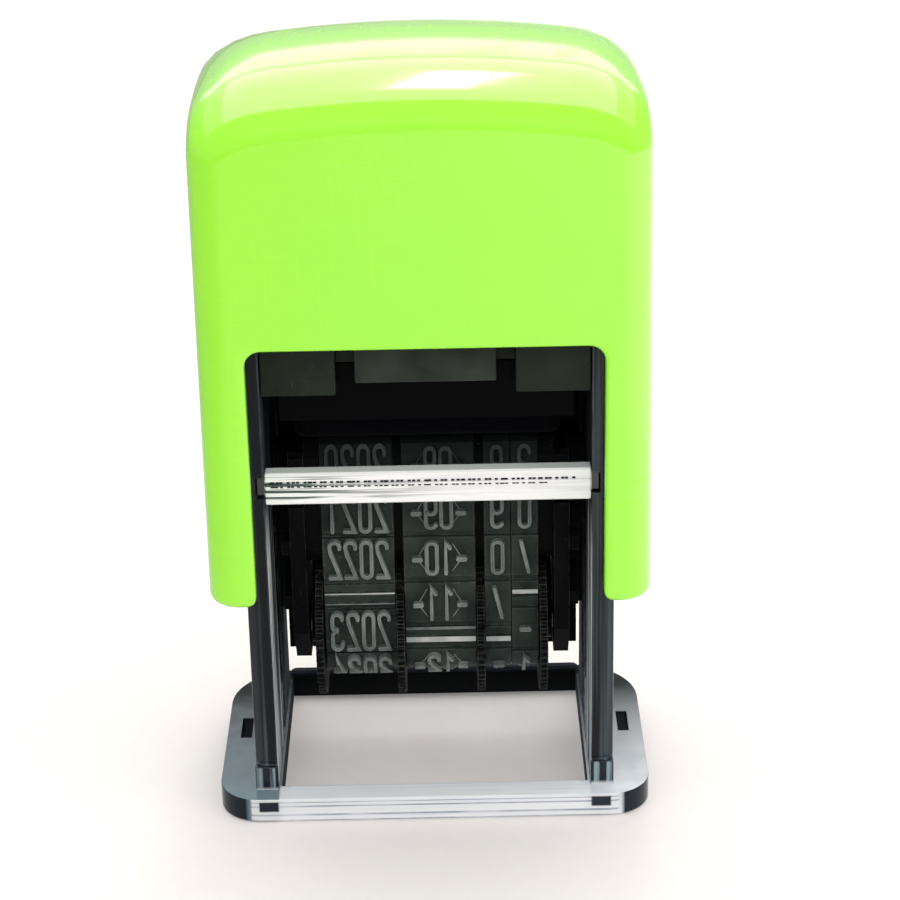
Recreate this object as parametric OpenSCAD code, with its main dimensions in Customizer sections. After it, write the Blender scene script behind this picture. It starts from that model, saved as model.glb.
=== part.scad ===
// Self-inking date stamp: a lime cover slides down a smoke frame and turns the
// band carriage over, so that the type leaves the ink pad and meets the paper.
// Millimetres. X is left to right, -Y is the open front, +Z is up.
// The origin is the middle of the base underside.

/* [Base frame] */
// Width of the base plate
base_w = 42.8; // [36:0.2:50]
// Depth of the base plate
base_d = 27.0; // [22:0.2:34]
// Thickness of the base plate
base_t = 2.5; // [1.5:0.1:4]
// Radius of the front corners of the base plate
base_r = 4.2; // [2:0.1:7]
// Radius of the rear corners of the base plate
base_rr = 7.0; // [2:0.1:8]
// Reach of the base plate beyond the cover
base_lip = 0.15; // [0:0.05:1]
// Sill left inside each side wall at the print opening
sill = 0.3; // [0.1:0.1:0.8]
// Depth of the front bar of the base
bar_front = 2.7; // [2:0.1:4]
// Depth of the rear bar of the base
bar_rear = 1.5; // [1.2:0.1:4]
// Thickness of each side wall
wall_t = 2.25; // [1.8:0.05:2.8]
// Depth of the cam groove in the side walls
groove_d = 1.25; // [0.8:0.05:1.6]
// Chamfer on the outer edges of the side walls
wall_ch = 0.8; // [0.6:0.05:1]
// Height of the foot in front of each side wall
foot_h = 2.5; // [1.5:0.1:4]
// Underside of the clear crossbar
cross_z = 33.2; // [32:0.1:34]
// Height of the clear crossbar
cross_h = 3.2; // [2.4:0.1:4]
// Depth of the clear crossbar
cross_d = 1.7; // [1.2:0.1:2.4]

/* [Ink pad] */
// Underside of the pad housing
house_z = 44.3; // [43:0.1:45]
// Height of the pad housing
house_h = 7.0; // [6:0.1:9]
// Reach of the housing below its deck
house_skirt = 2.5; // [1.5:0.1:3.5]
// Wall thickness of the housing
house_t = 1.2; // [0.9:0.1:1.6]
// Half width of the cut-out in the housing front
cut_x = 8.4; // [7.4:0.1:10]
// Half width of the cartridge pull tab
tab_x = 6.6; // [5:0.1:7]
// Height of the cartridge tray
cart_h = 5.9; // [4.5:0.1:7]
// Half width of the ink pad
pad_x = 12.75; // [12:0.05:13]
// Half depth of the ink pad
pad_y = 6.25; // [5.5:0.05:7]

/* [Cover] */
// Height of the cover top
cover_h = 75.8; // [72:0.1:80]
// Height of the leg ends
leg_z = 23.4; // [22:0.1:27]
// Wall thickness of the cover
cover_t = 1.8; // [1.4:0.1:2.0]
// Taper of each cover side from the legs to the top
draft = 0.2; // [0:0.05:1.5]
// Space between the cover front and the side walls
front_gap = 0.55; // [0.3:0.05:1.2]
// Half width of the windows
win_x = 16.6; // [15.8:0.1:17.2]
// Top of the front window
win_z = 49.7; // [46:0.1:52]
// Top of the rear window
rear_win_z = 27.0; // [26:0.1:46]
// Corner radius of the windows
win_r = 1.5; // [0.5:0.1:3]

/* [Carriage] */
// Height of the pivot at rest
pivot_z = 27.8; // [27.4:0.1:28.6]
// Stroke of the cover
stroke = 17.6; // [15:0.1:18]
// Radius of the pivot stubs
pivot_r = 1.7; // [1.4:0.05:2]
// Distance from the pivot to the cam stub
cam_a = 6.0; // [5.6:0.1:6.4]
// Radius of the cam stub
cam_r = 1.0; // [0.8:0.05:1.1]
// Thickness of a carriage cheek
cheek_t = 1.5; // [1.2:0.1:1.6]
// Half depth of a cheek
cheek_y = 5.0; // [4.4:0.1:5.6]
// Height of the nose bar
nose_h = 6.0; // [5.2:0.1:7]
// Half width of the flat on the nose bar
nose_c = 2.2; // [1.8:0.05:2.6]
// Corner radius of the nose bar
nose_rr = 0.7; // [0.4:0.05:1]
// Thickness of the tie plate
tie_t = 1.2; // [0.8:0.1:1.6]

/* [Date bands] */
// Height of the wheel shaft
wheel_z = 15.2; // [14.8:0.1:15.6]
// Radius of the setting wheels
wheel_r = 7.3; // [6.8:0.1:7.6]
// Knurl teeth round a setting wheel
teeth = 60; // [40:2:80]
// Depth of the knurling
knurl = 0.45; // [0.2:0.05:0.7]
// Radius of the wheel shaft
shaft_r = 1.0; // [0.7:0.05:1.5]
// Radius inside a band where it runs round its wheel
band_r = 3.45; // [3.2:0.05:3.6]
// Thickness of the band
band_t = 0.85; // [0.6:0.05:1]
// Height of the type blocks on the band
block_t = 0.45; // [0.3:0.05:0.6]
// Height of the raised figures on the blocks
figure_t = 0.55; // [0.3:0.05:0.7]
// Spacing of the type blocks
pitch = 5.2; // [4.9:0.05:5.25]
// Width of the year band
year_w = 6.95; // [6.4:0.05:7.4]
// Width of the month band
month_w = 6.88; // [6.4:0.02:7.4]
// Width of the day units band
units_w = 2.38; // [2.2:0.02:2.6]
// Width of the day tens band
tens_w = 2.46; // [2.2:0.02:2.6]
// Thickness of a knurled disc
disc_t = 0.8; // [0.6:0.05:1]

/* [Return spring] */
// Wire diameter of the spring
wire = 0.8; // [0.6:0.05:1]
// Middle radius of the coils
coil_r = 3.9; // [3.4:0.1:4.2]
// Turns of the spring
turns = 8; // [6:1:9]

/* [Hidden] */
$fn = 64;
eps = 0.01;

// Clearances: running fit, side play between moving pieces, snug fit, pad to type
run = 0.05;
play = 0.35;
snug = 0.02;
kiss = 0.15;

// Heights of the carriage: the type meets the paper at full stroke
type_z = 2 * pivot_z - stroke - 0.1;
nose_in = type_z - band_t - block_t - figure_t;
nose_z = nose_in - nose_rr;
ledge_z = pivot_z + 2.4;
tenon_z = [nose_in - 5.0, nose_in - 3.8];
tenon_y = 1.2;
tie_z = [wheel_z + 5.8, wheel_z + 9.8];
tie_lap = 1.0;
tie_y = cheek_y + tie_lap;
tie_ear = 1.4;
comb_gap = 0.16;
comb_low = wheel_z - 6.0;
fin_rise = 1.6;
fin_bevel = 1.4;

// Lanes across the carriage: knurled discs and bands from left to right
lane_gap = 0.14;
pair_gap = 0.30;
lanes = 4 * disc_t + year_w + month_w + units_w + tens_w + 6 * lane_gap + pair_gap;
year_disc = [-lanes / 2, -lanes / 2 + disc_t];
year_lane = [year_disc[1] + lane_gap, year_disc[1] + lane_gap + year_w];
month_disc = [year_lane[1] + lane_gap, year_lane[1] + lane_gap + disc_t];
month_lane = [month_disc[1] + lane_gap, month_disc[1] + lane_gap + month_w];
units_disc = [month_lane[1] + lane_gap, month_lane[1] + lane_gap + disc_t];
units_lane = [units_disc[1] + lane_gap, units_disc[1] + lane_gap + units_w];
tens_lane = [units_lane[1] + pair_gap, units_lane[1] + pair_gap + tens_w];
tens_disc = [tens_lane[1] + lane_gap, tens_lane[1] + lane_gap + disc_t];
drum_r = band_r - 0.1;

// The cover stands on the outline of the base plate
cover_x0 = base_w / 2 - base_lip;
cover_x1 = cover_x0 - draft;
cover_y = base_d / 2 - base_lip;
cover_in = cover_x0 - cover_t;

// Each side wall stands between the carriage and the cover side
cheek_gap = 0.7;
cheek_in = lanes / 2 + cheek_gap;
cheek_out = cheek_in + cheek_t;
wall_off = 0.05;
wall_mid = (cheek_out + cover_in) / 2 + wall_off;
wall_in = wall_mid - wall_t / 2;
wall_out = wall_mid + wall_t / 2;
wall_y = cover_y - cover_t - front_gap;
hub_x = wall_in - 0.3;

// Pivot bores in the cover, with skin left outside them
bore_skin = 0.95;
boss_in = wall_out + play;
bore_end = cover_x0 - bore_skin;
stub_end = bore_end - 0.15;

// Housing, cartridge and pad from the underside of the housing
house_x = wall_in - 0.1;
house_y = wall_y - 0.3;
house_top = house_z + house_h;
wall_top = house_top + 0.2;
deck_z = house_z + house_skirt;
cart_lid = 1.3;
cart_x = house_x - house_t - 0.2;
cart_y = [-house_y + house_t + 1.1, house_y - house_t - 0.3];
cart_z = [deck_z - 0.1 - cart_h, deck_z - 0.1];
pad_z = type_z + kiss;
pad_top = deck_z - 0.1 - cart_lid;
tab_z = [house_top - 2.7, house_top - 0.9];
tab_y = [-6.5, 4.5];
tab_w = 2.0;

// Spring seats, crossbar and guide ribs
cup_r = coil_r + wire / 2 + 0.7;
cup_h = 2.6;
spring_z0 = deck_z + house_t;
spring_z1 = cover_h - cover_t - 0.2;
cross_y = [-house_y, -house_y + cross_d];
snap_z = [cross_z + 0.8, cross_z + cross_h - 0.4];
snap_x = 0.8;
rib_in = 2.5;
rib_w = 1.2;

// A rounded rectangle from exact arcs
module rounded(w, d, r) {
    square([w - 2 * r, d], center = true);
    square([w, d - 2 * r], center = true);
    for (x = [-1, 1], y = [-1, 1])
        translate([x * (w / 2 - r), y * (d / 2 - r)]) circle(r);
}

// Extrude a drawing of (Y, Z) along X from x0 to x1
module along_x(x0, x1) {
    translate([x0, 0, 0]) rotate([90, 0, 90]) linear_extrude(x1 - x0) children();
}

// Extrude a drawing of (X, Z) along Y from y0 to y1
module along_y(y0, y1) {
    translate([0, y1, 0]) rotate([90, 0, 0]) linear_extrude(y1 - y0) children();
}

module block(x, y, z) {
    translate([x[0], y[0], z[0]]) cube([x[1] - x[0], y[1] - y[0], z[1] - z[0]]);
}

// A span of X on the left (s = -1) or on the right (s = 1)
function side(s, a, b) = s > 0 ? [a, b] : [-b, -a];

module rod(x, r, y, z) {
    translate([x[0], y, z]) rotate([0, 90, 0]) cylinder(h = x[1] - x[0], r = r);
}

// The way that the cam stub takes while the cover goes down
function cam_at(u) = [cam_a * sin(180 * u), pivot_z - stroke * u + cam_a * cos(180 * u)];
function cam_n(u) =
    let (d = cam_at(u + 0.002) - cam_at(u - 0.002)) [d[1], -d[0]] / norm(d);
cam_steps = 28;
cam_w = cam_r + 0.15;

module cam_groove() {
    polygon(concat(
        [for (i = [0:cam_steps]) cam_at(i / cam_steps) + cam_w * cam_n(i / cam_steps)],
        [for (i = [cam_steps:-1:0]) cam_at(i / cam_steps) - cam_w * cam_n(i / cam_steps)]));
    translate(cam_at(0)) circle(cam_w);
    translate(cam_at(1)) circle(cam_w);
}

module wall(s) {
    slot = pivot_r + 0.15;
    x = side(s, wall_in, wall_out);
    cut = side(s, wall_in - 1, wall_in + groove_d);
    difference() {
        along_x(x[0], x[1])
            difference() {
                translate([0, (wall_top + 1) / 2]) rounded(2 * wall_y, wall_top - 1, 1.5);
                translate([-slot, pivot_z - stroke]) square([2 * slot, stroke]);
                translate([0, pivot_z]) circle(slot);
                translate([0, pivot_z - stroke]) circle(slot);
            }
        // Blind cam groove in the inner face
        along_x(cut[0], cut[1]) cam_groove();
        // Snap notch for the crossbar
        block(side(s, wall_in - 1, wall_in + snap_x + run), [-wall_y - 1, cross_y[1] + run],
              [snap_z[0] - run, snap_z[1] + run]);
        // Windows for the housing tabs
        for (y = tab_y)
            block(side(s, wall_in - 1, wall_out + 1), [y - run, y + tab_w + run],
                  [tab_z[0] - run, tab_z[1] + run]);
        // Outer edges cut back inside the rounder corners of the cover
        for (y = [-wall_y, wall_y])
            translate([s * wall_out, y, wall_top / 2]) rotate([0, 0, 45])
                cube([wall_ch * sqrt(2), wall_ch * sqrt(2), 2 * wall_top], center = true);
    }
}

// Outline of the base plate, rounder at the rear
module plate() {
    x = base_w / 2;
    y = base_d / 2;
    polygon([[base_r - x, -y], [x - base_r, -y], [x, base_r - y], [x, y - base_rr],
             [x - base_rr, y], [base_rr - x, y], [-x, y - base_rr], [-x, base_r - y]]);
    for (s = [-1, 1]) {
        translate([s * (x - base_r), base_r - y]) circle(base_r);
        translate([s * (x - base_rr), y - base_rr]) circle(base_rr);
    }
}

module base_frame() color([0.30, 0.34, 0.38, 0.6]) {
    open_x = wall_in - sill;
    difference() {
        union() {
            linear_extrude(base_t) plate();
            wall(-1);
            wall(1);
            // Foot in front of each side wall
            for (s = [-1, 1])
                block(side(s, wall_in, wall_out), [-wall_y - 0.6, -wall_y + 1],
                      [base_t - eps, base_t + foot_h]);
        }
        block([-open_x, open_x], [-base_d / 2 + bar_front, base_d / 2 - bar_rear],
              [-1, base_t + 1]);
        // Moulding holes outside the side walls
        for (s = [-1, 1])
            block(side(s, wall_out + 1.15, wall_out + 2.25), [-1, 3], [-1, base_t + 1]);
        // Shallow groove under the front bar
        block([-open_x, open_x], [-base_d / 2 + 0.9, -base_d / 2 + 1.8], [-1, 0.5]);
    }
}

module front_crossbar() color([0.86, 0.90, 0.92, 0.35]) {
    difference() {
        union() {
            block([-wall_in + run, wall_in - run], cross_y, [cross_z, cross_z + cross_h]);
            for (s = [-1, 1])
                block(side(s, wall_in - 0.2, wall_in + snap_x), [cross_y[0] + 0.3, cross_y[1]], snap_z);
        }
        // Long groove on the back of the bar
        block([-wall_in + 2, wall_in - 2], [cross_y[1] - 0.5, cross_y[1] + 0.5],
              [cross_z + 1.1, cross_z + 2.1]);
    }
}

module pad_housing() color([0.16, 0.18, 0.20, 0.95]) {
    z = [house_z, house_top];
    inner = house_x - house_t;
    deck = [deck_z, deck_z + house_t];
    difference() {
        union() {
            // Front wall with its cut-out
            difference() {
                block([-house_x, house_x], [-house_y, -house_y + house_t], z);
                block([-cut_x, cut_x], [-house_y - 1, -house_y + house_t + 1],
                      [house_z - 1, house_top - 0.4]);
            }
            // Side walls and rear wall
            for (s = [-1, 1]) block(side(s, inner, house_x), [-house_y + 0.5, house_y], z);
            block([-house_x, house_x], [house_y - house_t, house_y], z);
            // Deck that carries the spring
            block([-inner - eps, inner + eps], [cart_y[0] - 0.2, house_y - 0.5], deck);
            for (s = [-1, 1])
                block(side(s, cut_x, inner + eps), [-house_y + 0.5, cart_y[0]], deck);
            translate([0, 0, deck_z + 0.4]) cylinder(h = house_t + cup_h, r = cup_r + house_t);
            // Snap tabs into the side walls
            for (s = [-1, 1], y = tab_y)
                block(side(s, inner, wall_out - 0.3), [y, y + tab_w], tab_z);
        }
        translate([0, 0, spring_z0]) cylinder(h = house_t + cup_h, r = cup_r);
    }
}

module pad_cartridge() color([0.07, 0.07, 0.08, 1]) {
    difference() {
        block([-cart_x, cart_x], cart_y, cart_z);
        block([-pad_x - run, pad_x + run], [-pad_y - run, pad_y + run], [cart_z[0] - 1, pad_top]);
    }
    // Pull tab in the housing cut-out
    block([-tab_x, tab_x], [-house_y + 0.2, -house_y + 1.5], [pad_top, house_top - 0.8]);
    block([-tab_x, tab_x], [-house_y + 0.9, cart_y[0] + 0.4], [pad_top, cart_z[1]]);
}

module ink_pad() color([0.05, 0.06, 0.22, 1])
    block([-pad_x, pad_x], [-pad_y, pad_y], [pad_z, pad_top]);

// Round wire wound round Z, with its end turns lying closer
coil_h = spring_z1 - spring_z0 - wire - 0.1;
coil_n = turns * 10;
function coil_lift(t) = spring_z0 + wire / 2 + 0.05 + coil_h * (t - 0.045 * sin(360 * t));
echo(least_coil_gap = min([for (i = [0:coil_n - 10])
    coil_lift((i + 10) / coil_n) - coil_lift(i / coil_n)]) - wire);
module return_spring() color([0.72, 0.73, 0.75, 1]) {
    r = wire / 2;
    m = 8;
    pts = [for (i = [0:coil_n], k = [0:m - 1])
        let (t = i / coil_n, a = 36 * i, q = 360 * k / m, e = coil_r + r * cos(q))
        [e * cos(a), e * sin(a), coil_lift(t) + r * sin(q)]];
    skin = [for (i = [0:coil_n - 1], k = [0:m - 1])
        let (j = (k + 1) % m) [i * m + k, (i + 1) * m + k, (i + 1) * m + j, i * m + j]];
    ends = [[for (k = [0:m - 1]) k], [for (k = [m - 1:-1:0]) coil_n * m + k]];
    polyhedron(points = pts, faces = concat(skin, ends), convexity = 10);
}

// Outer form of the cover, or its inner form drawn in by t: balls of one radius
// on a crowned dome whose edges fall away in quarter ellipses
ball_r = 3.0;
edge_x = 3.9;
edge_y = 4.0;
fall_x = 1.2;
fall_y = 1.8;
crown_x = 1.4;
crown_y = 0.9;
function dome(l, e, f, c) = [for (s = [-1, 1], i = [0:6])
    let (a = 30 * max(0, i - 3), x = i < 3 ? (l - e) * i / 3 : l - e + e * sin(a))
    [s * x, f * (1 - cos(a)) + c * x * x / (l * l)]];
module cover_form(t) {
    hull() {
        for (u = dome(cover_x1 - ball_r, edge_x, fall_x, crown_x),
             v = dome(cover_y - ball_r, edge_y, fall_y, crown_y))
            translate([u[0], v[0], cover_h - ball_r - u[1] - v[1]])
                sphere(ball_r - t, $fn = 24);
        for (sx = [-1, 1], sy = [-1, 1])
            translate([sx * (cover_x0 - ball_r), sy * (cover_y - ball_r), leg_z - (t > 0 ? 1 : 0)])
                cylinder(h = 0.5, r = ball_r - t, $fn = 24);
    }
}

module window(top) {
    r = win_r;
    translate([-win_x + r, leg_z - 2]) square([2 * win_x - 2 * r, top - leg_z + 2]);
    translate([-win_x, leg_z - 2]) square([2 * win_x, top - leg_z + 2 - r]);
    for (s = [-1, 1]) translate([s * (win_x - r), top - r]) circle(r);
}

module cover_shell() color([0.52, 0.98, 0.18, 1]) {
    difference() {
        union() {
            difference() {
                cover_form(0);
                cover_form(cover_t);
            }
            // Pivot bosses inside the legs
            for (s = [-1, 1]) rod(side(s, boss_in, bore_end + 0.25), pivot_r + 1.5, 0, pivot_z);
            // Guide ribs that run along the side walls
            for (s = [-1, 1], y = [-wall_y + rib_in, wall_y - rib_in - rib_w])
                block(side(s, boss_in, cover_in + 0.7), [y, y + rib_w], [pivot_z + 2.2, wall_top + 8.5]);
            // Spigot that holds the top of the spring
            translate([0, 0, spring_z1 - 2.2]) cylinder(h = 3.2, r = coil_r - wire / 2 - 0.6);
        }
        along_y(-cover_y - 2, -cover_y + 4.5) window(win_z);
        along_y(cover_y - 4.5, cover_y + 2) window(rear_win_z);
        for (s = [-1, 1]) rod(side(s, boss_in - 1, bore_end), pivot_r + run, 0, pivot_z);
    }
}

// One side of the carriage, with its pivot stub and cam stub
module cheek(s) {
    x = side(s, cheek_in, cheek_out);
    hub = side(s, cheek_out - eps, hub_x);
    key = side(s, cheek_out - eps, hub_x - 0.6);
    low = wheel_z - shaft_r - 1.6;
    low_y = low + 3.8;
    top = nose_in - 0.9;
    neck = nose_c + nose_rr + 0.5;
    web_y = [-1.6, -0.4];
    web_z = [low_y + 1.4, pivot_z + cam_a - 0.3];
    difference() {
        union() {
            along_x(x[0], x[1])
                polygon([[-2.4, low], [2.4, low], [cheek_y, low_y], [cheek_y, ledge_z],
                         [neck, ledge_z], [neck, top - 0.5], [neck - 0.5, top],
                         [0.5 - neck, top], [-neck, top - 0.5], [-neck, ledge_z],
                         [-cheek_y, ledge_z], [-cheek_y, low_y]]);
            rod(hub, pivot_r + 1.9, 0, pivot_z);
            rod(hub, cam_r + 0.7, 0, pivot_z + cam_a);
            // Web that fills the space beside the cheek, with diagonal keys in front of it
            block(hub, web_y, web_z);
            for (q = [-6.4, -0.4])
                along_x(key[0], key[1])
                    polygon([[0.4 - cheek_y, pivot_z + q - 2.4], [0.4 - cheek_y, pivot_z + q - 1.0],
                             [4.0 - cheek_y, pivot_z + q + 1.6], [4.0 - cheek_y, pivot_z + q + 0.2]]);
            rod(side(s, cheek_out - eps, stub_end), pivot_r, 0, pivot_z);
            rod(side(s, cheek_out - eps, wall_in + groove_d - 0.15), cam_r, 0, pivot_z + cam_a);
        }
        rod(side(s, cheek_in - 1, cheek_out + 3), shaft_r + snug, 0, wheel_z);
        block(side(s, cheek_in - 1, cheek_out + snug), [-tenon_y - snug, tenon_y + snug],
              [tenon_z[0] - snug, tenon_z[1] + snug]);
        block(side(s, cheek_in - 1, cheek_out + 3), [cheek_y - tie_lap - snug, tie_y],
              [tie_z[0] - snug, tie_z[1] + snug]);
    }
}

module left_cheek() color([0.06, 0.06, 0.07, 1]) cheek(-1);

module right_cheek() color([0.06, 0.06, 0.07, 1]) cheek(1);

// Bar that the bands run over, with fins that keep them in their lanes
module nose_bar() color([0.08, 0.08, 0.09, 1]) {
    top = nose_in - run;
    low = nose_in - nose_h;
    fin = wheel_z + wheel_r + 0.9;
    deep = nose_c + nose_rr + 0.6;
    slim = deep - 1.1;
    foot = deep - 0.9;
    along_x(-cheek_in, cheek_in)
        translate([0, (low + top) / 2])
            rounded(2 * (nose_c + nose_rr - run), top - low, nose_rr);
    for (f = [[-cheek_in, year_disc[1]], month_disc, units_disc, [tens_disc[0], cheek_in]])
        along_x(f[0], f[1])
            polygon([[-foot, fin], [foot, fin], [deep, fin + fin_rise],
                     [deep, nose_in - fin_bevel], [slim, nose_in + 0.2],
                     [-slim, nose_in + 0.2], [-deep, nose_in - fin_bevel],
                     [-deep, fin + fin_rise]]);
    for (s = [-1, 1])
        block(side(s, cheek_in - eps, cheek_out), [-tenon_y, tenon_y], tenon_z);
}

// Back plate behind the bands that holds the two cheeks apart, with a comb between the discs
module carriage_tie() color([0.06, 0.06, 0.07, 1]) {
    half = hub_x - 0.1;
    y = [tie_y, tie_y + tie_t];
    block([-half, half], y, [tie_z[0] - tie_ear, pivot_z + cam_a]);
    for (x = [[-half, year_disc[0]], [year_disc[1], month_disc[0]], [month_disc[1], units_disc[0]],
              [units_disc[1], tens_disc[0]], [tens_disc[1], half]])
        block([max(-half, x[0] + comb_gap), min(half, x[1] - comb_gap)], y, [comb_low, tie_z[1]]);
    for (s = [-1, 1])
        block(side(s, cheek_in, cheek_out), [cheek_y - tie_lap, tie_y + 0.1], tie_z);
}

module wheel_shaft() color([0.75, 0.76, 0.78, 1])
    rod([-cheek_out, cheek_out], shaft_r, 0, wheel_z);

// Closed way of a band, drawn o outside its inner face
run_d = [nose_c, nose_z - wheel_z];
run_b = atan2(run_d[1], run_d[0]) - acos((band_r - nose_rr) / norm(run_d));
run_l = sqrt(norm(run_d) * norm(run_d) - (band_r - nose_rr) * (band_r - nose_rr));
function arc(c, r, a, b, n) = [for (i = [0:n])
    let (q = a + (b - a) * i / n) [c[0] + r * cos(q), c[1] + r * sin(q)]];
module loop(o) {
    polygon(concat(arc([0, wheel_z], band_r + o, 180 - run_b, 360 + run_b, 40),
                   arc([nose_c, nose_z], nose_rr + o, run_b, 90, 8),
                   arc([-nose_c, nose_z], nose_rr + o, 90, 180 - run_b, 8)));
}

// Lengths of the pieces of the way: nose corner, wheel turn, whole way, seam
way_o = band_t + 0.35;
way_c = (nose_rr + way_o) * (90 - run_b) * PI / 180;
way_w = (band_r + way_o) * (180 + 2 * run_b) * PI / 180;
way_all = 2 * nose_c + 2 * way_c + 2 * run_l + way_w;
seam = way_all - 12 * pitch;

// Place and outward angle at length q from the nose middle, going down the front
function way_at(q) =
    q < nose_c ? [[-q, nose_z + nose_rr], 90] :
    q < nose_c + way_c ? let (a = 90 + (q - nose_c) / (nose_rr + way_o) * 180 / PI)
        [[-nose_c + nose_rr * cos(a), nose_z + nose_rr * sin(a)], a] :
    q < nose_c + way_c + run_l ? let (a = 180 - run_b, t = q - nose_c - way_c)
        [[-nose_c + nose_rr * cos(a) - t * sin(run_b),
          nose_z + nose_rr * sin(a) - t * cos(run_b)], a] :
    q < nose_c + way_c + run_l + way_w ?
        let (a = 180 - run_b + (q - nose_c - way_c - run_l) / (band_r + way_o) * 180 / PI)
        [[band_r * cos(a), wheel_z + band_r * sin(a)], a] :
    let (m = way_at(way_all - q)) [[-m[0][0], m[0][1]], 180 - m[1]];

// A band with its type blocks parted by grooves; the seam follows block k
module band(lane, k) {
    along_x(lane[0], lane[1])
        difference() {
            loop(band_t + block_t);
            loop(0);
            for (i = [0:11]) {
                w = way_at((i + 0.5) * pitch + (i > k ? seam : i == k ? seam / 2 : 0));
                g = i == k ? 1.3 : 0.3;
                translate(w[0]) rotate(w[1]) translate([band_t, -g]) square([2, 2 * g]);
            }
        }
}

rubber = [0.24, 0.27, 0.26, 1];

module year_band() color(rubber) band(year_lane, 3);

module month_band() color(rubber) band(month_lane, 4);

module day_units_band() color(rubber) band(units_lane, 4);

module day_tens_band() color(rubber) band(tens_lane, 3);

// A knurled disc d, a plain drum p inside its band and an end collar h
module setting_wheel(d, p, h) color([0.05, 0.05, 0.055, 1]) {
    difference() {
        union() {
            along_x(d[0], d[1])
                translate([0, wheel_z])
                    polygon([for (i = [0:2 * teeth - 1])
                        let (r = wheel_r - (i % 2) * knurl, a = 180 * i / teeth)
                        [r * cos(a), r * sin(a)]]);
            rod(p, drum_r, 0, wheel_z);
            rod(h, shaft_r + 1, 0, wheel_z);
        }
        rod([-cheek_out, cheek_out], shaft_r + run, 0, wheel_z);
    }
}

module year_wheel()
    setting_wheel(year_disc, [year_disc[1] - 0.1, year_lane[1] + 0.04],
                  [-cheek_in + 0.1, year_disc[0] + 0.1]);

module month_wheel()
    setting_wheel(month_disc, [month_disc[1] - 0.1, month_lane[1] + 0.04],
                  [month_disc[1] - 0.1, month_disc[1] + 0.1]);

module day_units_wheel()
    setting_wheel(units_disc, [units_disc[1] - 0.1, units_lane[1] + 0.1],
                  [units_disc[1] - 0.1, units_disc[1] + 0.1]);

module day_tens_wheel()
    setting_wheel(tens_disc, [tens_lane[0] - 0.1, tens_disc[0] + 0.1],
                  [tens_disc[1] - 0.1, cheek_in - 0.1]);

base_frame();
front_crossbar();
pad_housing();
pad_cartridge();
ink_pad();
return_spring();
cover_shell();
left_cheek();
right_cheek();
nose_bar();
carriage_tie();
wheel_shaft();
year_band();
month_band();
day_units_band();
day_tens_band();
year_wheel();
month_wheel();
day_units_wheel();
day_tens_wheel();
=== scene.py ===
# %% [markdown]
# # A self-inking date stamp
# The stamp is a lime cover that slides down a smoke-grey frame. Inside the frame a
# carriage of four rubber date bands hangs from the cover and turns over as it goes down.
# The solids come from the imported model, in metres, and this file dresses them: it keeps
# the solids whose shape is already right and replaces those that need a finer skin.

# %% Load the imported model
import math

import bmesh
import bpy
from mathutils import Matrix, Vector


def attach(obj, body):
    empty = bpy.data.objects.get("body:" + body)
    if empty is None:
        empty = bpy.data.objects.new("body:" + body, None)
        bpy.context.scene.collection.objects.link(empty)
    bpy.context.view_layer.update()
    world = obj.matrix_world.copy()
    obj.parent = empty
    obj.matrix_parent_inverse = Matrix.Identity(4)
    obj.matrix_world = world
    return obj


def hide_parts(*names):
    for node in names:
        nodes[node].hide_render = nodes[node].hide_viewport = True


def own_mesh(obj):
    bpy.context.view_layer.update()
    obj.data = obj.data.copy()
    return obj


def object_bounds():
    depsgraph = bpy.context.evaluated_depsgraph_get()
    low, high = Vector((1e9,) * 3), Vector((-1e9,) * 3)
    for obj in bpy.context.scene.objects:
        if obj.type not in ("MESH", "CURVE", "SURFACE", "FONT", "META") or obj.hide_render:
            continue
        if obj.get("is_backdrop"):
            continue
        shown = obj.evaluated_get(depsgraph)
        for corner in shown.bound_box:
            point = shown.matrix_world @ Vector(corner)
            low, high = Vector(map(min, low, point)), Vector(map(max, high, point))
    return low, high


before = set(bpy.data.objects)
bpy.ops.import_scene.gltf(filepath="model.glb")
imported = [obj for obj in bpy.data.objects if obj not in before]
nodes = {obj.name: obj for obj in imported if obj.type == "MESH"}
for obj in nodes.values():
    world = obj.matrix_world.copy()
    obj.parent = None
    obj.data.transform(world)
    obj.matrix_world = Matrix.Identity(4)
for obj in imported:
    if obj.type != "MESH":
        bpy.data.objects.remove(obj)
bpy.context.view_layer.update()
MM = 0.001
scene = bpy.context.scene

# %% [markdown]
# ## The camera
# A camera looks along its own -Z axis with +Y up. Here its three axes are written out
# as the columns of a matrix, which makes the small roll of the hand-held picture easy
# to add: the right and up axes are turned by the roll around the viewing direction.

# %% Camera
EYE = Vector((2.151, -233.594, 135.484)) * MM
AIM = Vector((2.151, -13.5, 39.785)) * MM
ROLL = math.radians(1.12)
forward = (AIM - EYE).normalized()
level = forward.cross(Vector((0, 0, 1))).normalized()
upright = level.cross(forward)
cam_right = math.cos(ROLL) * level - math.sin(ROLL) * upright
cam_up = math.cos(ROLL) * upright + math.sin(ROLL) * level
lens = bpy.data.cameras.new("photo_camera")
lens.sensor_width = 36.0
lens.lens = 103.27
lens.clip_start = 0.01
lens.clip_end = 20.0
camera = bpy.data.objects.new("photo_camera", lens)
axes = Matrix((cam_right, cam_up, -forward)).transposed().to_4x4()
camera.matrix_world = Matrix.Translation(EYE) @ axes
scene.collection.objects.link(camera)
scene.camera = camera
print("camera distance, mm:", round((AIM - EYE).length / MM, 1))
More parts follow.
